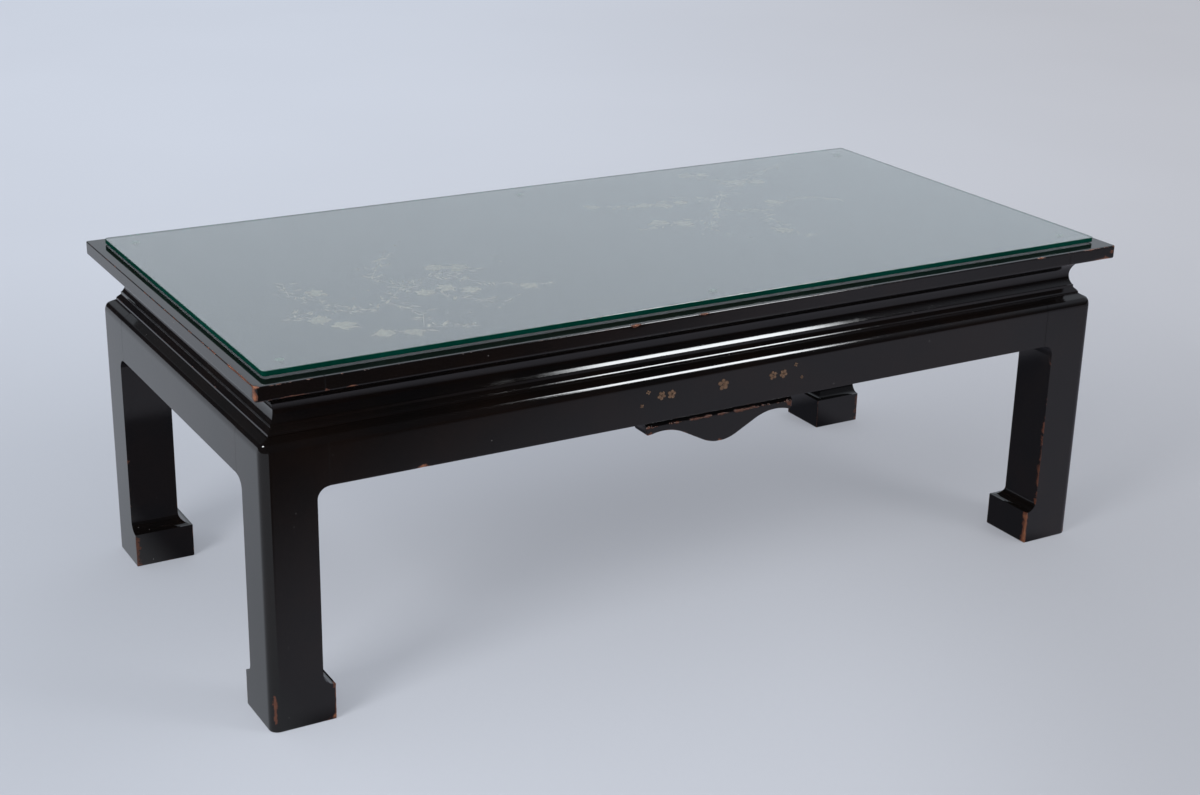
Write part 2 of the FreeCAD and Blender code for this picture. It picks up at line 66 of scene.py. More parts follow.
class Side(Enum):
    """The four sides, each with its quarter turns from the front."""

    front = 0
    right = 1
    rear = 2
    left = 3


class Corner(Enum):
    """The four corners, each with its quarter turns from the front left one."""

    front_left = 0
    front_right = 1
    rear_right = 2
    rear_left = 3


class Slot(Enum):
    """Names of two of the record's material slots; no piece in this script is given one."""

    black_lacquer = "black_lacquer"
    clear_glass = "clear_glass"


# Hand work on the meshes


class Bench:
    """The bench, where one piece at a time is worked on."""

    @staticmethod
    def clear() -> None:
        """Deselect everything in the scene."""
        for item in bpy.context.selected_objects:
            item.select_set(False)
        bpy.context.view_layer.objects.active = None

    @staticmethod
    def take(piece: Piece) -> Piece:
        """Make one piece the only one selected.

        Args:
            piece: The piece to work on.

        Returns:
            The same piece.
        """
        Bench.clear()
        piece.select_set(True)
        bpy.context.view_layer.objects.active = piece
        return piece

    @staticmethod
    def open(piece: Piece) -> None:
        """Enter edit mode on a piece with nothing of it selected."""
        Bench.take(piece)
        bpy.ops.object.mode_set(mode="EDIT")
        bpy.ops.mesh.select_mode(type="VERT")
        bpy.ops.mesh.select_all(action="DESELECT")

    @staticmethod
    def close() -> None:
        """Leave edit mode."""
        bpy.ops.object.mode_set(mode="OBJECT")

    @staticmethod
    def pick_edges(piece: Piece, wanted: Callable[[Vector, Vector], bool]) -> int:
        """Select edges of the piece in edit mode by the place of their ends.

        Args:
            piece: The piece in edit mode.
            wanted: Test on the two ends in millimetres.

        Returns:
            The number of edges selected.
        """
        bpy.ops.mesh.select_mode(type="EDGE")
        bpy.ops.mesh.select_all(action="DESELECT")
        mesh = bmesh.from_edit_mesh(piece.data)
        count = 0
        for edge in mesh.edges:
            if wanted(edge.verts[0].co / MM, edge.verts[1].co / MM):
                edge.select_set(True)
                count += 1
        bmesh.update_edit_mesh(piece.data)
        return count

    @staticmethod
    def pick_faces(piece: Piece, wanted: Callable[[Vector, Vector], bool]) -> None:
        """Select faces of the piece in edit mode by their middle and normal.

        Args:
            piece: The piece in edit mode.
            wanted: Test on the middle in millimetres and the normal.
        """
        bpy.ops.mesh.select_mode(type="FACE")
        bpy.ops.mesh.select_all(action="DESELECT")
        mesh = bmesh.from_edit_mesh(piece.data)
        for face in mesh.faces:
            if wanted(face.calc_center_median() / MM, face.normal):
                face.select_set(True)
        bmesh.update_edit_mesh(piece.data)

    @staticmethod
    def pick_corners(piece: Piece, wanted: Callable[[Vector], bool]) -> None:
        """Select vertices of the piece in edit mode by their place in millimetres."""
        bpy.ops.mesh.select_mode(type="VERT")
        bpy.ops.mesh.select_all(action="DESELECT")
        mesh = bmesh.from_edit_mesh(piece.data)
        for corner in mesh.verts:
            if wanted(corner.co / MM):
                corner.select_set(True)
        bmesh.update_edit_mesh(piece.data)

    @staticmethod
    def settle(name: str) -> Piece:
        """Name the primitive just added and put its place into its mesh.

        Args:
            name: Name of the piece.

        Returns:
            The piece.
        """
        piece = bpy.context.active_object
        piece.name = name
        piece.data.name = name
        bpy.ops.object.transform_apply(location=True, rotation=True, scale=True)
        return piece

    @staticmethod
    def block(name: str, low: Triple, high: Triple) -> Piece:
        """Add a block between two corners.

        Args:
            name: Name of the piece.
            low: Lowest corner in millimetres.
            high: Highest corner in millimetres.

        Returns:
            The block.
        """
        Bench.clear()
        middle = [(a + b) / 2 * MM for a, b in zip(low, high)]
        bpy.ops.mesh.primitive_cube_add(size=1, location=middle)
        bpy.context.active_object.scale = [(b - a) * MM for a, b in zip(low, high)]
        return Bench.settle(name)

    @staticmethod
    def sheet(name: str, low: Pair, high: Pair, level: float) -> Piece:
        """Add a level face between two corners.

        Args:
            name: Name of the piece.
            low: Lowest corner across and along, in millimetres.
            high: Highest corner across and along, in millimetres.
            level: Height in millimetres.

        Returns:
            The face as a piece.
        """
        Bench.clear()
        middle = ((low[0] + high[0]) / 2 * MM, (low[1] + high[1]) / 2 * MM, level * MM)
        bpy.ops.mesh.primitive_plane_add(size=1, location=middle)
        bpy.context.active_object.scale = ((high[0] - low[0]) * MM, (high[1] - low[1]) * MM, 1)
        return Bench.settle(name)

    @staticmethod
    def run_moulding(name: str, path: Sequence[Pair], low: float, high: float,
                     endways: bool = False) -> Piece:
        """Run a moulding: the first flat of its section is drawn out edge by edge round the whole section.

        Args:
            name: Name of the piece.
            path: Closed section as (out, up) in millimetres, its first flat level.
            low: Where the moulding starts.
            high: Where it stops.
            endways: Whether it runs along Y, with the section in X and Z.

        Returns:
            The closed moulding.
        """
        start, stop = sorted((path[0][0], path[1][0]))
        level = path[0][1]
        if endways:
            piece = Bench.sheet(name, (start, low), (stop, high), level)
        else:
            piece = Bench.sheet(name, (low, start), (high, stop), level)
        axis = 0 if endways else 1
        edge = path[1][0]
        Bench.open(piece)
        Bench.pick_edges(piece, lambda a, b: abs(a[axis] - edge) < 0.01 and abs(b[axis] - edge) < 0.01)
        for here, there in zip(path[1:], [*path[2:], path[0]]):
            out, up = (there[0] - here[0]) * MM, (there[1] - here[1]) * MM
            move = (out, 0, up) if endways else (0, out, up)
            bpy.ops.mesh.extrude_region_move(TRANSFORM_OT_translate={"value": move})
        bpy.ops.mesh.select_all(action="SELECT")
        bpy.ops.mesh.remove_doubles(threshold=0.00001)
        bpy.ops.mesh.fill_holes(sides=0)
        bpy.ops.mesh.select_all(action="SELECT")
        bpy.ops.mesh.normals_make_consistent(inside=False)
        Bench.close()
        return piece

    @staticmethod
    def rule_rows(piece: Piece, step: float) -> None:
        """Divide the long edges of a moulding that runs along X into even rows.

        Args:
            piece: The moulding.
            step: Distance between rows in millimetres.
        """
        places = [corner.co.x / MM for corner in piece.data.vertices]
        length = max(places) - min(places)
        Bench.open(piece)
        Bench.pick_edges(piece, lambda a, b: abs(a.x - b.x) > 0.9 * length)
        bpy.ops.mesh.subdivide(number_cuts=max(1, int(length / step) - 1))
        Bench.close()

    @staticmethod
    def saw(place: Triple, out: Triple, cut: bool = True) -> None:
        """Saw through the piece that is in edit mode along a plane.

        Args:
            place: A point of the plane in millimetres.
            out: Direction to the side that is kept.
            cut: Whether the other side falls away, or only a row is ruled.
        """
        bpy.ops.mesh.select_all(action="SELECT")
        bpy.ops.mesh.bisect(plane_co=[v * MM for v in place], plane_no=out, use_fill=cut,
                            clear_inner=cut, threshold=0.000001)

    @staticmethod
    def rule(piece: Piece, axis: int, places: Iterable[float]) -> None:
        """Rule rows across a whole piece.

        Args:
            piece: The piece.
            axis: Axis that the rows stand square to.
            places: Places along the axis in millimetres.
        """
        Bench.open(piece)
        out = [0.0, 0.0, 0.0]
        out[axis] = 1.0
        for place in places:
            Bench.saw(tuple(v * place for v in out), tuple(out), cut=False)
        Bench.close()

    @staticmethod
    def mitre(piece: Piece, half: float, face: float) -> None:
        """Cut both ends of a front moulding at 45 degrees towards the corners of its frame.

        Args:
            piece: The moulding.
            half: Half the length of the frame's side.
            face: Place of the frame's face.
        """
        Bench.open(piece)
        Bench.saw((-half, face, 0), (1, -1, 0))
        Bench.saw((half, face, 0), (-1, -1, 0))
        Bench.close()

    @staticmethod
    def bevel(piece: Piece, wanted: Callable[[Vector, Vector], bool], width: float, steps: int = 1) -> None:
        """Ease chosen edges of a piece.

        Args:
            piece: The piece.
            wanted: Test on the two ends of an edge in millimetres.
            width: Width of the bevel in millimetres.
            steps: Number of facets across it.
        """
        Bench.open(piece)
        if Bench.pick_edges(piece, wanted):
            bpy.ops.mesh.bevel(offset=width * MM, segments=steps, affect="EDGES")
        Bench.close()

    @staticmethod
    def apply(piece: Piece) -> None:
        """Apply all modifiers of a piece."""
        Bench.take(piece)
        for step in list(piece.modifiers):
            bpy.ops.object.modifier_apply(modifier=step.name)

    @staticmethod
    def cut_away(piece: Piece, cutter: Piece) -> None:
        """Cut a solid from a piece, and throw the solid away.

        Args:
            piece: The piece that stays.
            cutter: The solid used up by the cut.
        """
        step = piece.modifiers.new("cut", "BOOLEAN")
        step.operation = "DIFFERENCE"
        step.solver = "EXACT"
        step.object = cutter
        Bench.apply(piece)
        bpy.data.objects.remove(cutter)

    @staticmethod
    def ease_all(piece: Piece, width: float, steps: int = 2, angle: float = 40.0) -> None:
        """Take the sharpness off every edge past an angle.

        Args:
            piece: The piece.
            width: Width of the easing in millimetres.
            steps: Number of facets across it.
            angle: Least angle in degrees between two faces.
        """
        step = piece.modifiers.new("eased", "BEVEL")
        step.width = width * MM
        step.segments = steps
        step.limit_method = "ANGLE"
        step.angle_limit = math.radians(angle)
        Bench.apply(piece)

    @staticmethod
    def polish(piece: Piece, angle: float = 32.0) -> None:
        """Smooth the shading of a piece where its faces meet at less than an angle.

        Args:
            piece: The piece.
            angle: Greatest smoothed angle in degrees.
        """
        Bench.take(piece)
        bpy.ops.object.shade_smooth_by_angle(angle=math.radians(angle))
        step = piece.modifiers.new("even light", "WEIGHTED_NORMAL")
        step.keep_sharp = True
        Bench.apply(piece)

    @staticmethod
    def copy(piece: Piece, name: str) -> Piece:
        """Copy a piece with its own mesh.

        Args:
            piece: The piece to copy.
            name: Name of the copy.

        Returns:
            The copy.
        """
        twin = piece.copy()
        twin.data = piece.data.copy()
        twin.name = name
        twin.data.name = name
        bpy.context.collection.objects.link(twin)
        return twin

    @staticmethod
    def turn(piece: Piece, quarters: int, move: Triple = (0, 0, 0)) -> Piece:
        """Turn a piece by quarter turns round the middle of the table, then move it.

        Args:
            piece: The piece.
            quarters: Number of quarter turns.
            move: Move after the turn in millimetres.

        Returns:
            The same piece.
        """
        Bench.take(piece)
        piece.rotation_mode = "XYZ"
        piece.rotation_euler = (0, 0, quarters * math.pi / 2)
        piece.location = [v * MM for v in move]
        bpy.ops.object.transform_apply(location=True, rotation=True, scale=True)
        return piece


class Section:
    """A section of a moulding, drawn point by point as (out, up) in millimetres."""

    def __init__(self, start: Pair) -> None:
        """Start the section at a point."""
        self.points: list[Pair] = [start]

    def flat(self, end: Pair, near: Sequence[float] = (1.5, 4.0), most: float = 14.0) -> "Section":
        """Go straight to a point, with rows near both ends.

        Args:
            end: The point to reach.
            near: Distances of the rows from either end.
            most: Greatest distance between rows.

        Returns:
            The section.
        """
        start = Vector(self.points[-1])
        finish = Vector(end)
        length = (finish - start).length
        stops = [v for v in near if v < length / 2]
        stops += [length - v for v in stops]
        low, high = (max([v for v in stops if v < length / 2], default=0),
                     min([v for v in stops if v > length / 2], default=length))
        count = max(1, math.ceil((high - low) / most))
        stops += [low + (high - low) * i / count for i in range(1, count)]
        for stop in sorted(stops):
            point = start.lerp(finish, stop / length)
            self.points.append((point.x, point.y))
        self.points.append(end)
        return self

    def jump(self, end: Pair) -> "Section":
        """Go straight to a point with no row between."""
        self.points.append(end)
        return self

    def bend(self, middle: Pair, radius: float, start: float, stop: float, steps: int) -> "Section":
        """Follow an arc.

        Args:
            middle: Centre of the arc.
            radius: Radius of the arc.
            start: Angle of its start in degrees, from out towards up.
            stop: Angle of its end in degrees.
            steps: Number of chords.

        Returns:
            The section.
        """
        for i in range(steps + 1):
            angle = math.radians(start + (stop - start) * i / steps)
            point = (middle[0] + radius * math.cos(angle), middle[1] + radius * math.sin(angle))
            if math.dist(point, self.points[-1]) > 0.02:
                self.points.append(point)
        return self

    def closed(self) -> list[Pair]:
        """Return the points without a last one that repeats the first."""
        if math.dist(self.points[0], self.points[-1]) < 0.02:
            self.points.pop()
        return self.points


# Wear


@dataclass(frozen=True)
class Arris:
    """A line along which hands, feet and cloths have thinned the lacquer."""

    start: Triple
    end: Triple
    amount: float = 0.5
    reach: float = 2.5
    patch: float = 30.0


@dataclass(frozen=True)
class Spot:
    """A chip or rubbed place."""

    place: Triple
    radius: float
    amount: float = 1.0


@dataclass
class Ageing:
    """Marks how bare each place of a piece is, and wears its shape a little there."""

    arrises: list[Arris] = field(default_factory=list)
    spots: list[Spot] = field(default_factory=list)
    chip_depth: float = 0.0

    def work(self, piece: Piece) -> None:
        """Write the wear of a piece as the attribute "bare", and dent it.

        Args:
            piece: The piece at its place.
        """
        mesh = piece.data
        count = len(mesh.vertices)
        flat = np.empty(count * 3)
        mesh.vertices.foreach_get("co", flat)
        points = flat.reshape(-1, 3) / MM
        bare = np.zeros(count)
        for arris in self.arrises:
            start, end = np.array(arris.start), np.array(arris.end)
            run = end - start
            along = np.clip((points - start) @ run / (run @ run), 0, 1)
            gap = np.linalg.norm(points - start - along[:, None] * run, axis=1)
            near = np.nonzero(gap < arris.reach)[0]
            for i in near:
                rough = 0.5 + 0.5 * noise.noise(Vector(points[i]) / arris.patch)
                value = arris.amount * (0.45 + 1.1 * rough) * (1 - gap[i] / arris.reach)
                bare[i] = max(bare[i], value)
        for spot in self.spots:
            gap = np.linalg.norm(points - np.array(spot.place), axis=1)
            near = np.nonzero(gap < spot.radius)[0]
            for i in near:
                bare[i] = max(bare[i], spot.amount * (1 - (gap[i] / spot.radius) ** 2))
        mark = mesh.attributes.new("bare", "FLOAT", "POINT")
        mark.data.foreach_set("value", bare.astype(np.float32))
        if self.chip_depth > 0:
            self._dent(piece, points, bare)

    def _dent(self, piece: Piece, points: np.ndarray, bare: np.ndarray) -> None:
        """Push the most worn places inwards.

        Args:
            piece: The piece.
            points: Its vertices in millimetres.
            bare: The wear at each vertex.
        """
        group = piece.vertex_groups.new(name="chipped")
        for i in np.nonzero(bare > 0.35)[0]:
            rough = 0.5 + 0.5 * noise.noise(Vector(points[i]) / 3.5)
            group.add([int(i)], min(1.0, (bare[i] - 0.35) * 1.6 * rough), "REPLACE")
        step = piece.modifiers.new("chips", "DISPLACE")
        step.vertex_group = "chipped"
        step.direction = "NORMAL"
        step.mid_level = 0
        step.strength = -self.chip_depth * MM
        Bench.apply(piece)
        piece.vertex_groups.clear()


# Finishes


class Board:
    """A node tree with short ways to lay out its nodes."""

    def __init__(self, tree: bpy.types.NodeTree) -> None:
        """Keep the tree to work on."""
        self.tree = tree

    def put(self, kind: str, inputs: dict[Any, Any] | None = None, **settings: Any) -> bpy.types.Node:
        """Add a node.

        Args:
            kind: Blender's name of the node without its usual start.
            inputs: Values or sockets for its inputs.
            settings: Its other settings.

        Returns:
            The node.
        """
        node = self.tree.nodes.new("ShaderNode" + kind)
        for key, value in settings.items():
            setattr(node, key, value)
        for key, value in (inputs or {}).items():
            if isinstance(value, bpy.types.NodeSocket):
                self.tree.links.new(value, node.inputs[key])
            else:
                node.inputs[key].default_value = value
        return node

    def sum(self, way: str, first: Any, second: Any = 0.5, third: Any = None) -> bpy.types.NodeSocket:
        """Work out a value from others.

        Args:
            way: Blender's name of the operation.
            first: First value or socket.
            second: Second value or socket.
            third: Third value or socket.

        Returns:
            The result's socket.
        """
        inputs = {0: first, 1: second}
        if third is not None:
            inputs[2] = third
        return self.put("Math", inputs, operation=way).outputs[0]

    def mix(self, amount: Any, first: Any, second: Any) -> bpy.types.NodeSocket:
        """Mix two colours.

        Args:
            amount: Share of the second.
            first: First colour or socket.
            second: Second colour or socket.

        Returns:
            The mixed colour's socket.
        """
        return self.put("Mix", {0: amount, 6: first, 7: second}, data_type="RGBA").outputs[2]

    def step(self, value: Any, low: float, high: float, start: float = 0.0,
             end: float = 1.0) -> bpy.types.NodeSocket:
        """Rise smoothly between two values.

        Args:
            value: The value or socket.
            low: Value at which it starts.
            high: Value at which it ends.
            start: Result below.
            end: Result above.

        Returns:
            The result's socket.
        """
        inputs = {0: value, 1: low, 2: high, 3: start, 4: end}
        return self.put("MapRange", inputs, interpolation_type="SMOOTHSTEP").outputs[0]

    def place(self, scale: Triple | None = None, turn: Triple = (0, 0, 0)) -> bpy.types.NodeSocket:
        """Give the place on the piece, in its own metres.

        Args:
            scale: Stretch of the pattern along each axis.
            turn: Turn of the pattern.

        Returns:
            The place's socket.
        """
        here = self.put("TexCoord").outputs["Object"]
        if scale is None:
            return here
        return self.put("Mapping", {"Vector": here, "Scale": scale, "Rotation": turn}).outputs[0]

    def grain(self, scale: float, where: bpy.types.NodeSocket, detail: float = 2.0,
              rough: float = 0.5) -> bpy.types.NodeSocket:
        """Give soft noise.

        Args:
            scale: Waves to the metre.
            where: The place's socket.
            detail: Number of finer layers.
            rough: Strength of the finer layers.

        Returns:
            The noise's socket.
        """
        inputs = {"Vector": where, "Scale": scale, "Detail": detail, "Roughness": rough}
        return self.put("TexNoise", inputs).outputs["Fac"]


class Effects:
    """Effects that several finishes share, each built once as a node group."""

    made: dict[str, bpy.types.NodeTree] = {}

    @classmethod
    def start(cls, name: str, inputs: dict[str, float], outputs: Sequence[str]) -> tuple[Board, Any, Any]:
        """Start a group with number inputs and outputs.

        Args:
            name: Name of the effect.
            inputs: Names and usual values of its inputs.
            outputs: Names of its outputs.

        Returns:
            The board, the group's input node and its output node.
        """
        tree = bpy.data.node_groups.new(name, "ShaderNodeTree")
        for key, value in inputs.items():
            socket = tree.interface.new_socket(key, in_out="INPUT", socket_type="NodeSocketFloat")
            socket.default_value = value
        for key in outputs:
            tree.interface.new_socket(key, in_out="OUTPUT", socket_type="NodeSocketFloat")
        cls.made[name] = tree
        return Board(tree), tree.nodes.new("NodeGroupInput"), tree.nodes.new("NodeGroupOutput")

    @classmethod
    def worn_edge(cls) -> bpy.types.NodeTree:
        """Give the group that breaks up the marked wear into ragged bare wood with a thin dark rim.

        Returns:
            The group, with the outputs Bare and Rim.
        """
        if "worn edge" in cls.made:
            return cls.made["worn edge"]
        inputs = {"Edge": 0.0, "Spread": 1.3, "Fine": 480.0}
        board, into, out = cls.start("worn edge", inputs, ["Bare", "Rim"])
        here = board.place()
        broad = board.grain(130.0, here, 3.0, 0.6)
        fine = board.put("TexNoise", {"Vector": here, "Scale": into.outputs["Fine"], "Detail": 5.0,
                                      "Roughness": 0.65}).outputs["Fac"]
        both = board.sum("MULTIPLY_ADD", fine, 0.5, board.sum("MULTIPLY", broad, 0.5))
        ragged = board.sum("MULTIPLY", board.sum("SUBTRACT", both, 0.5), into.outputs["Spread"])
        level = board.sum("ADD", ragged, into.outputs["Edge"])
        marked = board.step(into.outputs["Edge"], 0.02, 0.1)
        bare = board.sum("MULTIPLY", board.step(level, 0.60, 0.66), marked)
        rim = board.sum("MULTIPLY", board.step(level, 0.36, 0.42), marked)
        board.tree.links.new(bare, out.inputs["Bare"])
        board.tree.links.new(rim, out.inputs["Rim"])
        return board.tree

    @classmethod
    def specks(cls) -> bpy.types.NodeTree:
        """Give the group of scattered specks of dust, of uneven size.

        Returns:
            The group, with the output Speck.
        """
        if "specks" in cls.made:
            return cls.made["specks"]
        board, into, out = cls.start("specks", {"Count": 90.0, "Size": 0.05}, ["Speck"])
        here = board.place()
        cells = board.put("TexVoronoi", {"Vector": here, "Scale": into.outputs["Count"]})
        luck = board.put("SeparateColor", {0: cells.outputs["Color"]}).outputs[0]
        size = board.sum("MULTIPLY", board.step(luck, 0.55, 1.0), into.outputs["Size"])
        speck = board.sum("LESS_THAN", cells.outputs["Distance"], size)
        board.tree.links.new(speck, out.inputs["Speck"])
        return board.tree


@dataclass(frozen=True)
class Finish:
    """A finish of the table's."""

    name: str

    def board(self) -> tuple[bpy.types.Material, Board, bpy.types.Node]:
        """Start a material with its one plain shader.

        Returns:
            The material, its board and the shader node.
        """
        material = bpy.data.materials.new(self.name)
        material.use_nodes = True
        tree = material.node_tree
        return material, Board(tree), tree.nodes["Principled BSDF"]

    def feed(self, board: Board, shader: bpy.types.Node, **values: Any) -> None:
        """Join values or sockets to the shader's inputs.

        Args:
            board: The material's board.
            shader: The shader.
            values: Inputs by name, with _ for a space.
        """
        for key, value in values.items():
            socket = shader.inputs[key.replace("_", " ")]
            if isinstance(value, bpy.types.NodeSocket):
                board.tree.links.new(value, socket)
            else:
                socket.default_value = value


@dataclass(frozen=True)
class Lacquer(Finish):
    """Old black lacquer over a red-brown ground, worn to orange wood along its edges."""

    name: str = "black lacquer"
    black: Colour = (0.0034, 0.0029, 0.0029, 1)
    brown: Colour = (0.0056, 0.0036, 0.0030, 1)
    ground: Colour = (0.085, 0.027, 0.013, 1)
    wood: Colour = (0.27, 0.098, 0.041, 1)
    wood_dark: Colour = (0.085, 0.030, 0.015, 1)
    dust: Colour = (0.30, 0.29, 0.28, 1)
    ripple: float = 0.045
    dusty: float = 0.5
    pore_depth: float = 0.012
    scratch_depth: float = 0.05
    bare_depth: float = 0.30
    rim_depth: float = 0.20

    def make(self) -> bpy.types.Material:
        """Make the material.

        Returns:
            The material.
        """
        material, board, shader = self.board()
        here = board.place()
        mark = board.put("Attribute", attribute_name="bare").outputs["Fac"]
        worn = board.put("Group", node_tree=Effects.worn_edge())
        board.tree.links.new(mark, worn.inputs["Edge"])
        bare, rim = worn.outputs["Bare"], worn.outputs["Rim"]
        dots = board.put("Group", {"Count": 70.0, "Size": 0.045}, node_tree=Effects.specks())
        speck = dots.outputs["Speck"]
        cloud = board.step(board.grain(9.0, here, 3.0, 0.6), 0.35, 0.7)
        coat = board.mix(cloud, self.black, self.brown)
        figure = board.grain(60.0, board.place((1.0, 9.0, 9.0)), 4.0, 0.65)
        wood = board.mix(board.step(figure, 0.3, 0.7), self.wood, self.wood_dark)
        colour = board.mix(rim, coat, self.ground)
        colour = board.mix(bare, colour, wood)
        colour = board.mix(board.sum("MULTIPLY", speck, self.dusty), colour, self.dust)
        pore = board.grain(950.0, here, 2.0, 0.6)
        smear = board.step(board.grain(26.0, here, 4.0, 0.65), 0.35, 0.75, 0.055, 0.115)
        rough = board.sum("ADD", smear, board.sum("MULTIPLY", rim, 0.42))
        rough = board.sum("MINIMUM", board.sum("ADD", rough, board.sum("MULTIPLY", speck, 0.4)), 0.75)
        wave = board.grain(210.0, here, 1.0, 0.4)
        broad = board.grain(38.0, here, 1.0, 0.4)
        scratch = self._scratches(board)
        height = board.sum("MULTIPLY_ADD", wave, self.ripple, board.sum("MULTIPLY", broad, self.ripple * 2.2))
        upward = board.put("SeparateXYZ", {0: board.put("NewGeometry").outputs["Normal"]}).outputs[2]
        height = board.sum("MULTIPLY", height, board.step(upward, 0.9, 0.98, 1.0, 0.2))
        height = board.sum("ADD", height, board.sum("MULTIPLY", board.step(pore, 0.35, 0.62), self.pore_depth))
        height = board.sum("SUBTRACT", height, board.sum("MULTIPLY", scratch, self.scratch_depth))
        height = board.sum("SUBTRACT", height, board.sum("MULTIPLY", bare, self.bare_depth))
        height = board.sum("SUBTRACT", height, board.sum("MULTIPLY", rim, self.rim_depth))
        bump = board.put("Bump", {"Height": height, "Strength": 0.5, "Distance": 0.0004}).outputs[0]
        self.feed(board, shader, Base_Color=colour, Roughness=rough, Normal=bump, IOR=1.5)
        return material

    def _scratches(self, board: Board) -> bpy.types.NodeSocket:
        """Give fine stray scratches.

        Args:
            board: The material's board.

        Returns:
            The mask's socket.
        """
        thin = board.grain(1.0, board.place((12.0, 900.0, 320.0), (0.3, 0.5, 0.35)), 1.0, 0.4)
        some = board.step(board.grain(14.0, board.place()), 0.52, 0.62)
        return board.sum("MULTIPLY", board.step(thin, 0.70, 0.76), some)


@dataclass(frozen=True)
class PlainWood(Finish):
    """Unfinished wood on the hidden side, brown with age."""

    name: str = "plain wood"
    pale: Colour = (0.36, 0.22, 0.12, 1)
    dark: Colour = (0.18, 0.095, 0.048, 1)
    pore_tone: Colour = (0.07, 0.035, 0.018, 1)
    stain_tone: Colour = (0.10, 0.06, 0.035, 1)
    stretch: Triple = (3.0, 60.0, 60.0)

    def make(self) -> bpy.types.Material:
        """Make the material.

        Returns:
            The material.
        """
        material, board, shader = self.board()
        along = board.place(self.stretch)
        figure = board.grain(4.0, along, 5.0, 0.65)
        pores = board.grain(22.0, along, 2.0, 0.6)
        stain = board.grain(7.0, board.place(), 3.0, 0.6)
        colour = board.mix(board.step(figure, 0.3, 0.72), self.dark, self.pale)
        colour = board.mix(board.sum("MULTIPLY", board.step(pores, 0.60, 0.72), 0.55), colour, self.pore_tone)
        colour = board.mix(board.sum("MULTIPLY", board.step(stain, 0.5, 0.75), 0.35), colour, self.stain_tone)
        rough = board.step(pores, 0.3, 0.8, 0.55, 0.82)
        bump = board.put("Bump", {"Height": pores, "Strength": 0.35, "Distance": 0.0003}).outputs[0]
        self.feed(board, shader, Base_Color=colour, Roughness=rough, Normal=bump)
        return material


@dataclass(frozen=True)
class ScrewSteel(Finish):
    """Old steel screws, dull and a little rusty."""

    name: str = "screw steel"
    bright: Colour = (0.32, 0.31, 0.30, 1)
    rusty: Colour = (0.16, 0.055, 0.022, 1)

    def make(self) -> bpy.types.Material:
        """Make the material.

        Returns:
            The material.
        """
        material, board, shader = self.board()
        rust = board.step(board.grain(420.0, board.place(), 4.0, 0.65), 0.5, 0.68)
        colour = board.mix(rust, self.bright, self.rusty)
        metal = board.sum("SUBTRACT", 1.0, board.sum("MULTIPLY", rust, 0.9))
        bump = board.put("Bump", {"Height": rust, "Strength": 0.4, "Distance": 0.0001}).outputs[0]
        self.feed(board, shader, Base_Color=colour, Metallic=metal, Normal=bump,
                  Roughness=board.step(rust, 0.0, 1.0, 0.35, 0.8))
        return material


@dataclass(frozen=True)
class ClearGlass(Finish):
    """Clear float glass with the faint marks of wiping."""

    name: str = "clear glass"
    tint: Colour = (0.93, 0.975, 0.965, 1)
    dust: Colour = (0.55, 0.56, 0.58, 1)
    shade: Colour = (0.86, 0.93, 0.91, 1)

    def make(self) -> bpy.types.Material:
        """Make the material.

        Returns:
            The material.
        """
        material, board, shader = self.board()
        here = board.place()
        wiped = board.grain(6.0, board.place((1.0, 2.5, 1.0), (0, 0, 0.5)), 4.0, 0.6)
        smear = board.step(wiped, 0.45, 0.8, 0.0, 0.028)
        dots = board.put("Group", {"Count": 45.0, "Size": 0.03}, node_tree=Effects.specks())
        speck = dots.outputs["Speck"]
        rough = board.sum("ADD", smear, board.sum("MULTIPLY", speck, 0.3))
        colour = board.mix(board.sum("MULTIPLY", speck, 0.5), self.tint, self.dust)
        float_wave = {"Height": board.grain(5.0, here, 1.0), "Strength": 0.1, "Distance": 0.0004}
        wave = board.put("Bump", float_wave).outputs[0]
        self.feed(board, shader, Base_Color=colour, Roughness=rough, Normal=wave,
                  Transmission_Weight=1.0, IOR=1.52, Coat_Weight=0.6, Coat_Roughness=0.03)
        through = board.put("BsdfTransparent", {"Color": self.shade}).outputs[0]
        shadow = board.put("LightPath").outputs["Is Shadow Ray"]
        both = board.put("MixShader", {0: shadow, 1: shader.outputs[0], 2: through}).outputs[0]
        board.tree.links.new(both, board.tree.nodes["Material Output"].inputs["Surface"])
        return material


@dataclass(frozen=True)
class GlassEdge(Finish):
    """The ground and polished edge of the glass, deep green where the eye looks along the sheet."""

    name: str = "green glass edge"
    deep: Colour = (0.0006, 0.030, 0.020, 1)
    light: Colour = (0.002, 0.052, 0.038, 1)
    coat: float = 0.0
    dull: float = 0.0
    shine: float = 0.1

    def make(self) -> bpy.types.Material:
        """Make the material.

        Returns:
            The material.
        """
        material, board, shader = self.board()
        along = board.place((1.0, 1.0, 0.0))
        drift = board.step(board.grain(5.0, along, 3.0, 0.6), 0.35, 0.7)
        streak = board.step(board.grain(90.0, along, 2.0, 0.5), 0.5, 0.8, 0.0, 0.35)
        tone = board.sum("ADD", board.sum("MULTIPLY", drift, 0.65), streak)
        colour = board.mix(tone, self.deep, self.light)
        rough = board.step(board.grain(300.0, board.place()), 0.3, 0.8, 0.06 + self.dull, 0.14 + self.dull)
        self.feed(board, shader, Base_Color=colour, Roughness=rough, Coat_Weight=self.coat,
                  Coat_Roughness=0.12, IOR=1.52, Specular_IOR_Level=self.shine)
        return material


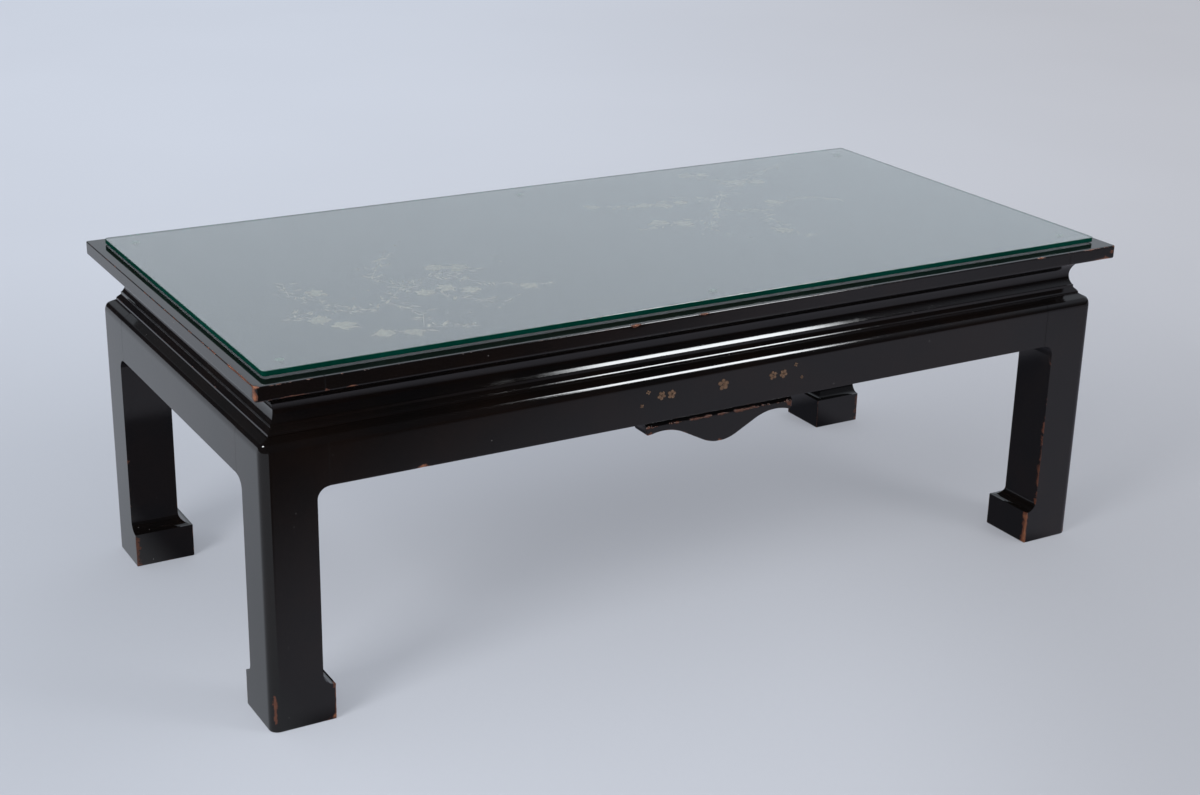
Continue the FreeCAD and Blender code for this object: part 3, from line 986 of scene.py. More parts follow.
@dataclass(frozen=True)
class ClearBumper(Finish):
    """Soft clear plastic of the pads under the glass."""

    name: str = "clear bumper"
    clear: Colour = (0.86, 0.90, 0.90, 1)
    milky: Colour = (0.74, 0.78, 0.78, 1)

    def make(self) -> bpy.types.Material:
        """Make the material.

        Returns:
            The material.
        """
        material, board, shader = self.board()
        cloudy = board.grain(240.0, board.place(), 3.0, 0.6)
        colour = board.mix(board.step(cloudy, 0.4, 0.7), self.clear, self.milky)
        self.feed(board, shader, Base_Color=colour, Roughness=board.step(cloudy, 0.2, 0.8, 0.16, 0.34),
                  Transmission_Weight=0.93, IOR=1.45)
        return material


@dataclass(frozen=True)
class Paint(Finish):
    """Thin decorator's paint, uneven where the brush ran dry."""

    name: str = "paint"
    full: Colour = (0.6, 0.6, 0.5, 1)
    thin: Colour = (0.3, 0.3, 0.25, 1)
    scale: float = 160.0

    def make(self) -> bpy.types.Material:
        """Make the material.

        Returns:
            The material.
        """
        material, board, shader = self.board()
        brush = board.grain(self.scale, board.place(), 3.0, 0.65)
        colour = board.mix(board.step(brush, 0.3, 0.75), self.full, self.thin)
        bump = board.put("Bump", {"Height": brush, "Strength": 0.4, "Distance": 0.0001}).outputs[0]
        rough = board.step(brush, 0.2, 0.8, 0.35, 0.6)
        self.feed(board, shader, Base_Color=colour, Roughness=rough, Normal=bump)
        return material


class Palette:
    """All finishes, made once."""

    def __init__(self) -> None:
        """Make the materials."""
        self.lacquer = Lacquer().make()
        self.covered = Lacquer(name="black lacquer under glass", ripple=0.008, dusty=0.25).make()
        self.wood = PlainWood().make()
        self.cross_wood = PlainWood(name="plain wood across", stretch=(60.0, 3.0, 60.0)).make()
        self.upright_wood = PlainWood(name="plain wood upright", stretch=(60.0, 60.0, 3.0)).make()
        self.steel = ScrewSteel().make()
        self.glass = ClearGlass().make()
        self.edge = GlassEdge().make()
        # The upper arris is paler than the lower one: partly the frosted ground edge, partly a painted
        # highlight where the light falls.
        self.arris = GlassEdge(name="ground glass arris", deep=(0.10, 0.17, 0.16, 1),
                               light=(0.22, 0.30, 0.28, 1), coat=1.0, dull=0.16, shine=0.5).make()
        self.bumper = ClearBumper().make()
        self.tan = Paint(name="tan petal", full=(0.155, 0.090, 0.052, 1), thin=(0.070, 0.038, 0.021, 1),
                         scale=420.0).make()
        self.cream = Paint(name="cream petal", full=(0.62, 0.53, 0.41, 1), thin=(0.20, 0.14, 0.095, 1),
                           scale=420.0).make()
        self.white = Paint(name="white petal", full=(0.205, 0.180, 0.140, 1), thin=(0.095, 0.080, 0.062, 1),
                           scale=220.0).make()
        self.leaf = Paint(name="green leaf", full=(0.046, 0.042, 0.014, 1),
                          thin=(0.020, 0.021, 0.009, 1)).make()
        self.twig = Paint(name="brown twig", full=(0.032, 0.024, 0.012, 1),
                          thin=(0.018, 0.014, 0.009, 1)).make()
        self.bud = Paint(name="orange bud", full=(0.16, 0.080, 0.040, 1), thin=(0.085, 0.05, 0.028, 1)).make()


def dress(piece: Piece, materials: Sequence[bpy.types.Material], nodes: Sequence[str],
          body: str = "table") -> None:
    """Give a piece its finish and its place in the table.

    Args:
        piece: The finished piece.
        materials: Its materials in the order of its slots.
        nodes: The CAD nodes it stands for.
        body: The body it moves with.
    """
    piece.data.materials.clear()
    for material in materials:
        piece.data.materials.append(material)
    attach(piece, body)
    if nodes:
        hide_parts(*nodes)
    LOG.info("%s: %d faces", piece.name, len(piece.data.polygons))


# Sub-assemblies


@dataclass
class Sizes:
    """Sizes that several sub-assemblies share, in millimetres."""

    half_length: float = 565.0
    half_depth: float = 271.0
    top_half_length: float = 575.0
    top_half_depth: float = 290.0
    top: float = 405.0
    top_under: float = 388.5
    waist_low: float = 344.5
    frame_top: float = 336.0
    apron_low: float = 276.0
    bead_in: float = 12.8
    back_in: float = 34.0
    blank: float = 74.5

    def run_of(self, side: Side) -> Pair:
        """Give half the length of the frame along a side, and how far out that side lies."""
        long_side = side in (Side.front, Side.rear)
        return (self.half_length, self.half_depth) if long_side else (self.half_depth, self.half_length)


def shoulder(sizes: Sizes) -> list[Pair]:
    """Draw the rounded shoulder of aprons and leg heads, as (inset, level) from the bead down.

    Args:
        sizes: Shared sizes.

    Returns:
        The points from the top of the shoulder to the face.
    """
    tall, tight, turn, last = 18.0, 6.5, 26.0, 66.0
    start = 321.1
    points: list[Pair] = [(0.0, start)]
    for i in range(1, 7):
        angle = math.radians(turn * i / 6)
        points.append((tall * (1 - math.cos(angle)), start + tall * math.sin(angle)))
    low = points[-1]
    first = math.radians(turn)
    for i in range(1, 6):
        angle = math.radians(turn + (last - turn) * i / 5)
        points.append((low[0] + tight * (math.cos(first) - math.cos(angle)),
                       low[1] + tight * (math.sin(angle) - math.sin(first))))
    low = points[-1]
    end = (sizes.bead_in, sizes.frame_top - 0.25)
    for inset in (7.6, 10.2, 11.6, end[0]):
        share = (inset - low[0]) / (end[0] - low[0])
        points.append((inset, low[1] + (end[1] - low[1]) * share))
    points.append((sizes.bead_in, sizes.frame_top))
    return points[::-1]


@dataclass
class FramedTop:
    """The top: two rails between end cleats that run the full depth, round a flush panel."""

    sizes: Sizes
    palette: Palette
    rail_width: float = 75.0
    upper_arris: float = 1.2
    lower_arris: float = 1.8
    corner: float = 3.0
    panel_thick: float = 11.0
    rail_ease: float = 0.35
    joint_ease: float = 0.3

    def build(self) -> None:
        """Build and dress the rails, the cleats and the panel."""
        self._rails()
        self._cleats()
        self._panel()

    def _rails(self) -> None:
        """Run the front rail, and copy it for the rear."""
        s = self.sizes
        face, back = -s.top_half_depth, -s.top_half_depth + self.rail_width
        hair = 0.3
        section = Section((back - hair, s.top))
        section.flat((face + self.upper_arris, s.top))
        section.bend((face + self.upper_arris, s.top - self.upper_arris), self.upper_arris, 90, 180, 4)
        section.flat((face, s.top_under + self.lower_arris), near=(1.2, 3.0), most=4.0)
        section.bend((face + self.lower_arris, s.top_under + self.lower_arris), self.lower_arris, 180, 270, 4)
        section.flat((back, s.top_under))
        section.jump((back, s.top - hair))
        half = s.top_half_length - self.rail_width
        front = Bench.run_moulding("framed_top_rail_front", section.closed(), -half, half)
        Bench.rule_rows(front, 2.5)
        Bench.bevel(front, lambda a, b: abs(abs(a.x) - half) < 0.01 and abs(a.x - b.x) < 0.01,
                    self.rail_ease)
        rear = Bench.turn(Bench.copy(front, "framed_top_rail_rear"), 2)
        for rail, sign in ((front, -1), (rear, 1)):
            self._age(rail, sign)
            Bench.polish(rail)
        dress(front, [self.palette.lacquer], ["top_rail_front"])
        dress(rear, [self.palette.lacquer], ["top_rail_rear"])

    def _age(self, rail: Piece, sign: int) -> None:
        """Wear a rail's outer arrises.

        Args:
            rail: The rail at its place.
            sign: -1 for the front one and 1 for the rear one.
        """
        s = self.sizes
        y = sign * s.top_half_depth
        half = s.top_half_length
        lines = [Arris((-half, y, s.top), (half, y, s.top), 0.38, 1.6, 17.0),
                 Arris((-half, y, s.top_under), (half, y, s.top_under), 0.38, 2.0, 21.0)]
        spots = []
        if sign < 0:
            spots = [Spot((-497, y, 389.5), 4.0, 1.0), Spot((-470, y, 388.8), 2.6, 0.9),
                     Spot((-495, y, 404), 3.0, 0.9), Spot((-134, y, 404.6), 3.5, 0.8),
                     Spot((-45, y, 404.6), 2.6, 0.8), Spot((310, y, 404.4), 2.4, 0.8),
                     Spot((452, y, 404.6), 2.6, 0.9), Spot((120, y, 388.8), 2.2, 0.8)]
        Ageing(lines, spots, 0.9).work(rail)

    def _cleats(self) -> None:
        """Shape the left cleat from a block, and copy it for the right."""
        s = self.sizes
        x, inner, y = -s.top_half_length, -s.top_half_length + self.rail_width, s.top_half_depth
        left = Bench.block("framed_top_cleat_left", (x, -y, s.top_under), (inner, y, s.top))
        Bench.bevel(left, lambda a, b: abs(a.x - x) < 0.01 and abs(b.x - x) < 0.01 and abs(a.z - b.z) > 1,
                    self.corner, 5)

        def outer(a: Vector, b: Vector, level: float) -> bool:
            """Tell whether an edge lies on the outside at a level."""
            middle = (a + b) / 2
            return abs(a.z - level) < 0.01 and abs(b.z - level) < 0.01 and middle.x < inner - 0.01

        Bench.bevel(left, lambda a, b: outer(a, b, s.top), self.upper_arris, 4)
        Bench.bevel(left, lambda a, b: outer(a, b, s.top_under), self.lower_arris, 4)
        Bench.bevel(left, lambda a, b: abs(a.x - inner) < 0.01 and abs(b.x - inner) < 0.01,
                    self.joint_ease)
        Bench.rule(left, 1, [v * 2.5 for v in range(-115, 116)])
        Bench.rule(left, 0, [x + v for v in (3.5, 6.0, 12.0, 24.0, 40.0, 58.0, 70.0)])
        Bench.rule(left, 2, [s.top_under + v for v in (3.0, 5.5, 8.25, 11.0, 13.8)])
        right = Bench.turn(Bench.copy(left, "framed_top_cleat_right"), 2)
        for cleat, sign in ((left, -1), (right, 1)):
            self._age_cleat(cleat, sign)
            Bench.polish(cleat)
            name = "top_end_left" if sign < 0 else "top_end_right"
            dress(cleat, [self.palette.lacquer], [name])

    def _age_cleat(self, cleat: Piece, sign: int) -> None:
        """Wear a cleat's outer arrises, most at the front corner of the left one.

        Args:
            cleat: The cleat at its place.
            sign: -1 for the left one and 1 for the right one.
        """
        s = self.sizes
        x, y = sign * s.top_half_length, s.top_half_depth
        inner = x - sign * self.rail_width
        lines = []
        for level, amount in ((s.top, 0.38), (s.top_under, 0.38)):
            lines.append(Arris((x, -y, level), (x, y, level), amount, 2.2, 18.0))
            lines.append(Arris((x, -y, level), (inner, -y, level), 0.45, 2.2, 15.0))
            lines.append(Arris((x, y, level), (inner, y, level), 0.45, 2.2, 15.0))
        lines += [Arris((x, -y, s.top_under), (x, -y, s.top), 0.36, 2.5, 9.0),
                  Arris((x, y, s.top_under), (x, y, s.top), 0.36, 2.5, 9.0)]
        if sign < 0:
            lines.append(Arris((x, -284, s.top), (x, -215, s.top), 0.70, 2.6, 9.0))
            lines.append(Arris((x, -215, s.top), (x, 60, s.top), 0.52, 2.0, 13.0))
            lines.append(Arris((x + 1, -y, s.top_under), (x + 45, -y, s.top_under), 0.62, 2.2, 8.0))
            spots = [Spot((x + 0.6, -287, 394), 6.0, 0.95), Spot((x + 0.8, -286.5, 400), 5.0, 0.8),
                     Spot((x + 2, -287, 405), 4.5, 0.9), Spot((x + 19, -y, 388.5), 4.5, 1.0),
                     Spot((x + 39, -y, 388.5), 3.0, 0.9), Spot((x + 22, -y, 404.5), 2.6, 0.8)]
        else:
            lines.append(Arris((x - 42, -y, s.top_under), (x - 3, -y, s.top_under), 0.62, 2.2, 9.0))
            spots = [Spot((x - 12, -y, 389), 3.5, 0.9), Spot((x - 24, -y, 388.5), 3.0, 0.9),
                     Spot((x - 5, -y, 397), 4.5, 0.62), Spot((x - 4, -y, 404), 2.4, 0.6)]
        Ageing(lines, spots, 1.1).work(cleat)

    def _panel(self) -> None:
        """Plane the flush panel and ease its edges to show its joint."""
        s = self.sizes
        x, y = s.top_half_length - self.rail_width, s.top_half_depth - self.rail_width
        panel = Bench.block("framed_top_panel", (-x, -y, s.top - self.panel_thick), (x, y, s.top))
        Bench.bevel(panel, lambda a, b: a.z > s.top - 0.01 and b.z > s.top - 0.01,
                    self.joint_ease, 2)
        Bench.rule(panel, 0, [v * 50.0 for v in range(-9, 10)])
        Bench.rule(panel, 1, [v * 50.0 for v in range(-4, 5)])
        Ageing().work(panel)
        Bench.polish(panel)
        dress(panel, [self.palette.covered], ["top_panel"])


@dataclass
class Waist:
    """The mitred scotia under the top and the bead below it."""

    sizes: Sizes
    palette: Palette
    lip_in: float = 13.0
    scotia_radius: float = 22.5
    scotia_middle: Pair = (1.0, 360.0)
    scotia_top: float = 379.0
    scotia_low: float = 347.2
    foot_in: float = 18.6
    bead_set: float = 0.7
    bead_fall: float = 0.7
    bead_radius: float = 5.2
    bead_turn: float = 130.0

    def build(self) -> None:
        """Run, mitre, place and dress the four lengths of both mouldings."""
        s = self.sizes
        for side in (Side.front, Side.right):
            half, deep = s.run_of(side)
            for kind, section in (("waist", self._scotia(-deep)), ("bead", self._bead(-deep))):
                first = Bench.run_moulding(f"{kind}_moulding_{side.name}", section, -half, half)
                Bench.rule_rows(first, 5.0)
                Bench.mitre(first, half, -deep)
                twin_side = Side.rear if side is Side.front else Side.left
                second = Bench.copy(first, f"{kind}_moulding_{twin_side.name}")
                for piece, place in ((first, side), (second, twin_side)):
                    Bench.turn(piece, place.value)
                    self._age(piece, kind, place)
                    Bench.polish(piece)
                    dress(piece, [self.palette.lacquer], [f"{kind}_{place.name}"])

    def _scotia(self, face: float) -> list[Pair]:
        """Draw the scotia's section.

        Args:
            face: Place of the frame's face.

        Returns:
            The closed section.
        """
        s = self.sizes
        lip, back = face + self.lip_in, face + s.back_in
        middle = (face + self.scotia_middle[0], self.scotia_middle[1])
        rise = math.degrees(math.asin((self.scotia_top - middle[1]) / self.scotia_radius))
        fall = math.degrees(math.asin((self.scotia_low - middle[1]) / self.scotia_radius))
        section = Section((back, s.top_under)).jump((lip + 0.5, s.top_under)).jump((lip, s.top_under - 0.5))
        section.flat((lip, self.scotia_top + 0.6), near=(1.5,))
        section.jump((lip + 0.2, self.scotia_top))
        section.bend(middle, self.scotia_radius, rise, fall, 26)
        section.jump((face + self.foot_in, self.scotia_low - 0.3)).jump((face + self.foot_in, s.waist_low))
        return section.jump((back, s.waist_low)).closed()

    def _bead(self, face: float) -> list[Pair]:
        """Draw the bead's section: a quick round, then a falling slope up to the scotia's fillet.

        Args:
            face: Place of the frame's face.

        Returns:
            The closed section.
        """
        s = self.sizes
        front, back, foot = face + s.bead_in + self.bead_set, face + s.back_in, face + self.foot_in
        section = Section((back, s.waist_low)).jump((foot, s.waist_low))
        section.jump((foot, s.waist_low - self.bead_fall))
        middle = (front + self.bead_radius, s.frame_top + 0.5)
        section.bend(middle, self.bead_radius, self.bead_turn, 180.0, 8)
        section.jump((front + 0.3, s.frame_top))
        return section.jump((back, s.frame_top)).closed()

    def _age(self, piece: Piece, kind: str, side: Side) -> None:
        """Wear the lip of the scotia and the round of the bead a little.

        Args:
            piece: The moulding at its place.
            kind: waist or bead.
            side: The side it lies on.
        """
        s = self.sizes
        turn = Matrix.Rotation(side.value * math.pi / 2, 3, "Z")
        half, deep = s.run_of(side)
        inset, level = (self.lip_in, self.scotia_top) if kind == "waist" else (s.bead_in + 1, s.frame_top + 3)
        ends = [turn @ Vector((sign * (half - inset), -deep + inset, level)) for sign in (-1, 1)]
        amount = 0.34 if side is Side.left else 0.22
        Ageing([Arris(tuple(ends[0]), tuple(ends[1]), amount, 1.3, 14.0)]).work(piece)


@dataclass
class LegFrame:
    """The frame of four one-piece legs and four aprons."""

    sizes: Sizes
    palette: Palette
    square: float = 60.5
    round_corner: float = 10.5
    foot_top: float = 43.5
    cove: float = 14.0
    foot_ease: float = 1.5
    post_in: float = 36.0
    post_square: float = 20.0
    post_top: float = 396.5
    apron_thick: float = 34.0
    apron_ease: float = 0.8
    joint_ease: float = 0.45
    leg_ease: float = 0.7

    def build(self) -> None:
        """Build and dress the aprons and the legs."""
        for side in (Side.front, Side.right):
            self._aprons(side)
        self._legs()

    def _aprons(self, side: Side) -> None:
        """Run the apron of a side, and copy it for the opposite one.

        Args:
            side: front or right.
        """
        s = self.sizes
        half, deep = s.run_of(side)
        face, back, long = -deep, -deep + self.apron_thick, half - s.blank
        points = [(face + inset, level) for inset, level in shoulder(s)]
        section = Section((back, s.frame_top))
        for point in points:
            section.jump(point)
        ease = self.apron_ease
        section.flat((face, s.apron_low + ease), near=(1.5, 4.0, 9.0))
        section.bend((face + ease, s.apron_low + ease), ease, 180, 270, 3)
        section.flat((back - ease, s.apron_low))
        section.jump((back, s.apron_low + ease))
        first = Bench.run_moulding(f"leg_frame_apron_{side.name}", section.closed(), -long, long)
        Bench.rule_rows(first, 5.0)
        Bench.bevel(first, lambda a, b: abs(abs(a.x) - long) < 0.01 and abs(a.x - b.x) < 0.01,
                    self.joint_ease)
        twin = Side.rear if side is Side.front else Side.left
        second = Bench.copy(first, f"leg_frame_apron_{twin.name}")
        for piece, place in ((first, side), (second, twin)):
            Bench.turn(piece, place.value)
            turn = Matrix.Rotation(place.value * math.pi / 2, 3, "Z")
            ends = [tuple(turn @ Vector((sign * long, face, s.apron_low))) for sign in (-1, 1)]
            rounds = [tuple(turn @ Vector((sign * long, face + 2.5, 328.5))) for sign in (-1, 1)]
            lines = [Arris(ends[0], ends[1], 0.36, 1.9, 16.0), Arris(rounds[0], rounds[1], 0.12, 2.5, 20.0)]
            spots = []
            if place is Side.front:
                spots = [Spot((-383, face, 276.5), 4.5, 1.1), Spot((56, face + 1.5, 326), 2.6, 0.7),
                         Spot((-338, face, 305.8), 1.6, 0.5)]
            Ageing(lines, spots, 0.7).work(piece)
            Bench.polish(piece)
            dress(piece, [self.palette.lacquer], [f"apron_{place.name}"])

    def _leg(self) -> Piece:
        """Shape one leg at the front left corner.

        Returns:
            The leg.
        """
        s = self.sizes
        x, y = -s.half_length, -s.half_depth
        points = shoulder(s)[::-1]
        leg = Bench.sheet("leg_frame_leg_front_left", (x, y), (x + 2 * s.blank, y + 2 * s.blank), 0.0)
        Bench.open(leg)
        Bench.pick_corners(leg, lambda p: p.x < x + 1 and p.y < y + 1)
        bpy.ops.mesh.bevel(offset=self.round_corner * MM, segments=9, affect="VERTICES")
        bpy.ops.mesh.select_all(action="SELECT")
        bpy.ops.mesh.extrude_region_move(TRANSFORM_OT_translate={"value": (0, 0, points[0][1] * MM)})
        inset = points[0][0]
        for here, there in zip(points, points[1:]):
            step = there[0] - here[0]
            if inset < self.round_corner < there[0]:
                bpy.ops.mesh.remove_doubles(threshold=0.0012)
            if step > 0.001:
                bpy.ops.mesh.inset(thickness=step * MM, depth=0, use_even_offset=True)
            bpy.ops.transform.translate(value=(0, 0, (there[1] - here[1]) * MM))
            inset = there[0]
        bpy.ops.mesh.select_all(action="SELECT")
        bpy.ops.mesh.fill_holes(sides=0)
        bpy.ops.mesh.select_all(action="SELECT")
        bpy.ops.mesh.normals_make_consistent(inside=False)
        Bench.saw((x + s.blank, 0, 0), (-1, 0, 0))
        Bench.saw((0, y + s.blank, 0), (0, -1, 0))
        Bench.close()
        Bench.bevel(leg, lambda a, b: a.z < 0.01 and b.z < 0.01, self.foot_ease, 2)
        for axis in (0, 1):
            low = [x - 20, y - 20, self.foot_top]
            high = [x + 120, y + 120, s.apron_low]
            low[axis] = (x, y)[axis] + self.square
            cutter = Bench.block("cutter", tuple(low), tuple(high))
            edge = low[axis]
            Bench.bevel(cutter, lambda a, b: abs(a[axis] - edge) < 0.01 and abs(b[axis] - edge) < 0.01
                        and abs(a.z - b.z) < 0.01, self.cove, 10)
            Bench.cut_away(leg, cutter)
        for axis, corner in ((0, x), (1, y)):
            Bench.rule(leg, axis, [corner + self.post_in, corner + self.post_in + self.post_square])
        middle = self.post_in + self.post_square / 2
        Bench.open(leg)
        Bench.pick_faces(leg, lambda at, out: out.z > 0.9 and abs(at.z - s.frame_top) < 0.01
                         and abs(at.x - x - middle) < 8 and abs(at.y - y - middle) < 8)
        bpy.ops.mesh.extrude_region_move(
            TRANSFORM_OT_translate={"value": (0, 0, (self.post_top - s.frame_top) * MM)})
        Bench.close()
        Bench.ease_all(leg, self.leg_ease, 2, 42.0)
        Bench.rule(leg, 2, [4.0 * v for v in range(1, 84)])
        for axis, corner in ((0, x), (1, y)):
            places = (12.0, 16.0, 24.0, 40.0, self.square - 5, self.square - 2.2, s.blank - 5, s.blank - 2.2)
            Bench.rule(leg, axis, [corner + v for v in places])
        return leg

    def _legs(self) -> None:
        """Make the four legs from the one shaped."""
        s = self.sizes
        first = self._leg()
        twins = [first] + [Bench.copy(first, f"leg_frame_leg_{corner.name}") for corner in list(Corner)[1:]]
        places = {Corner.front_left: (-1, -1), Corner.front_right: (1, -1), Corner.rear_right: (1, 1),
                  Corner.rear_left: (-1, 1)}
        for leg, corner in zip(twins, Corner):
            sx, sy = places[corner]
            turn = Matrix.Rotation(corner.value * math.pi / 2, 3, "Z")
            now = turn @ Vector((-s.half_length, -s.half_depth, 0))
            Bench.turn(leg, corner.value, (sx * s.half_length - now.x, sy * s.half_depth - now.y, 0))
            self._age_leg(leg, corner, sx, sy)
            Bench.polish(leg)
            node = "leg_" + corner.name
            dress(leg, [self.palette.lacquer], [node])

    def _age_leg(self, leg: Piece, corner: Corner, sx: int, sy: int) -> None:
        """Wear a leg's arrises, most round its foot.

        Args:
            leg: The leg at its place.
            corner: Which leg it is.
            sx: Which end it stands at.
            sy: Which side it stands at.
        """
        s = self.sizes
        x, y = sx * s.half_length, sy * s.half_depth

        def at(inx: float, iny: float, level: float) -> Triple:
            """Give the place so far in from the outer corner."""
            return (x - sx * inx, y - sy * iny, level)

        blank, square = s.blank, self.square
        foot = self.foot_top - 1
        lines = [Arris(at(blank, 0, 0), at(blank, 0, foot), 0.46, 2.0, 12.0),
                 Arris(at(0, blank, 0), at(0, blank, foot), 0.44, 2.0, 12.0),
                 Arris(at(blank, blank, 0), at(blank, blank, foot), 0.44, 2.0, 12.0),
                 Arris(at(3, 3, 0), at(3, 3, foot), 0.32, 4.0, 14.0),
                 Arris(at(0, 0, 0), at(blank, 0, 0), 0.45, 2.6, 10.0),
                 Arris(at(0, 0, 0), at(0, blank, 0), 0.45, 2.6, 10.0),
                 Arris(at(blank, 0, 0), at(blank, blank, 0), 0.42, 2.6, 10.0),
                 Arris(at(0, blank, 0), at(blank, blank, 0), 0.42, 2.6, 10.0),
                 Arris(at(square, 0, 50), at(square, 0, 262), 0.30, 1.5, 20.0),
                 Arris(at(0, square, 50), at(0, square, 262), 0.30, 1.5, 20.0),
                 Arris(at(square, square, 50), at(square, square, 262), 0.34, 1.6, 20.0)]
        spots: list[Spot] = []
        if corner is Corner.front_left:
            lines.append(Arris(at(blank, 0, 0), at(blank, 0, 44), 0.68, 2.6, 10.0))
            lines.append(Arris(at(5, 1.5, 12), at(5, 1.5, 46), 0.50, 5.0, 7.0))
            spots = [Spot(at(blank - 1, 0, 3), 6.0, 0.85), Spot(at(blank - 1, 0, 42), 4.0, 0.85),
                     Spot(at(3, 0.5, 111), 2.2, 0.5)]
        elif corner is Corner.front_right:
            lines += [Arris(at(blank, 0, 0), at(blank, 0, 44), 0.84, 4.6, 9.0),
                      Arris(at(square, 0, 46), at(square, 0, 170), 0.42, 1.7, 12.0)]
            spots = [Spot(at(4, 1.5, 30), 5.0, 0.45), Spot(at(4, 1.5, 6), 6.0, 0.5)]
        elif corner is Corner.rear_left:
            lines.append(Arris(at(3, blank, 0), at(1, blank, 44), 0.46, 3.0, 10.0))
        else:
            lines.append(Arris(at(blank, blank, 0), at(blank, blank, 44), 0.50, 2.4, 10.0))
        Ageing(lines, spots, 0.8).work(leg)


@dataclass
class Pendants:
    """The shaped drops under the long aprons."""

    sizes: Sizes
    palette: Palette
    half: float = 101.5
    recess: float = 6.0
    drop: float = 41.5
    thick: float = 28.0
    quirk_rise: float = 8.0
    quirk_depth: float = 4.0
    lobe: float = 50.0
    neck: float = 62.0
    neck_place: float = 78.0
    slope: float = 27.5
    tip: float = 4.5
    back_ease: float = 3.0
    face_ease: float = 1.0

    def _outline(self) -> list[Pair]:
        """Draw the drop's outline: tip, neck, lobe, neck and tip.

        Returns:
            The closed outline as (along, up).
        """
        s = self.sizes
        low = s.apron_low - self.drop
        lean = math.radians(self.slope)
        fall = 1 - math.cos(lean)
        neck_level = (low + (self.lobe + self.neck) * fall
                      + (self.neck_place - (self.lobe + self.neck) * math.sin(lean)) * math.tan(lean))
        tip_x = self.half - self.tip
        reach = self.neck + self.tip
        tip_level = neck_level - self.neck + math.sqrt(reach ** 2 - (tip_x - self.neck_place) ** 2)
        neck_middle = (self.neck_place, neck_level - self.neck)
        tip_side = math.degrees(math.atan2(tip_level - neck_middle[1], tip_x - neck_middle[0]))
        half: list[Pair] = []
        for i in range(13):
            angle = math.radians(self.slope * i / 12)
            half.append((self.lobe * math.sin(angle), low + self.lobe * (1 - math.cos(angle))))
        for i in range(13):
            angle = math.radians(90 + self.slope + (tip_side - 90 - self.slope) * i / 12)
            half.append((neck_middle[0] + self.neck * math.cos(angle),
                         neck_middle[1] + self.neck * math.sin(angle)))
        for i in range(1, 8):
            angle = math.radians(tip_side + 180 + (180 - tip_side) * i / 7)
            half.append((tip_x + self.tip * math.cos(angle), tip_level + self.tip * math.sin(angle)))
        half.append((self.half, s.apron_low - self.quirk_rise + 1))
        outline = [(self.half, s.apron_low), (-self.half, s.apron_low)]
        outline += [(-x, z) for x, z in reversed(half)]
        outline += half[1:]
        points = [outline[0]]
        for point in outline[1:]:
            if math.dist(point, points[-1]) > 0.05:
                points.append(point)
        return points

    def build(self) -> None:
        """Saw out, quirk, ease and dress the front drop, and copy it for the rear."""
        s = self.sizes
        face = -s.half_depth + self.recess
        front = Bench.run_moulding("pendant_drop_front", self._outline(), face, face + self.thick,
                                   endways=True)
        Bench.open(front)
        top = s.apron_low
        Bench.saw((0, face, top - self.quirk_rise), (0, self.quirk_rise, -self.quirk_depth))
        Bench.close()
        back = face + self.thick
        Bench.bevel(front, lambda a, b: abs(a.y - back) < 0.01 and abs(b.y - back) < 0.01
                    and min(a.z, b.z) < top - 1, self.back_ease, 3)
        Bench.bevel(front, lambda a, b: abs(a.y - face) < 0.01 and abs(b.y - face) < 0.01
                    and min(a.z, b.z) < top - self.quirk_rise - 0.01, self.face_ease, 3)
        Bench.rule(front, 0, [v * 4.0 for v in range(-25, 26)])
        Bench.rule(front, 2, [v * 4.0 + 236 for v in range(0, 10)])
        rear = Bench.turn(Bench.copy(front, "pendant_drop_rear"), 2)
        outline = [p for p in self._outline() if p[1] < top - 2]
        for piece, sign in ((front, 1), (rear, -1)):
            near, quirk = sign * face, top - self.quirk_rise
            lines = [Arris((a[0] * sign, near, a[1]), (b[0] * sign, near, b[1]), 0.42, 2.2, 14.0)
                     for a, b in zip(outline, outline[1:])]
            lines.append(Arris((-self.half, near, quirk), (self.half, near, quirk), 0.42, 1.2, 7.0))
            spots = []
            if sign > 0:
                spots = [Spot((-96, face, 258), 4.0, 0.8), Spot((0, face, 235), 3.5, 0.8),
                         Spot((20, face, 237), 3.0, 0.75), Spot((98, face, 263), 4.0, 0.8)]
            Ageing(lines, spots, 0.8).work(piece)
            Bench.polish(piece)
            name = "front" if sign > 0 else "rear"
            dress(piece, [self.palette.lacquer], [f"pendant_{name}"])


@dataclass
class GlassCover:
    """The loose sheet of glass with rounded corners and a polished edge."""

    palette: Palette
    half_length: float = 558.0
    half_depth: float = 268.0
    under: float = 406.5
    upper: float = 412.5
    corner: float = 5.0
    arris: float = 0.5

    def build(self) -> None:
        """Cut, round, polish and dress the sheet."""
        x, y = self.half_length, self.half_depth
        glass = Bench.block("glass_cover", (-x, -y, self.under), (x, y, self.upper))
        Bench.bevel(glass, lambda a, b: abs(a.z - b.z) > 1, self.corner, 8)
        Bench.bevel(glass, lambda a, b: abs(a.z - b.z) < 0.01, self.arris, 3)
        Bench.polish(glass, 50.0)
        materials = [self.palette.glass, self.palette.edge, self.palette.arris]
        dress(glass, materials, ["glass_sheet"], body="glass")
        for face in glass.data.polygons:
            lean = face.normal.z
            # Upward-facing arris facets take the paler arris colour, a painted highlight, and downward ones
            # take the dark green edge.
            face.material_index = 0 if abs(lean) > 0.95 else 2 if lean > 0.1 else 1


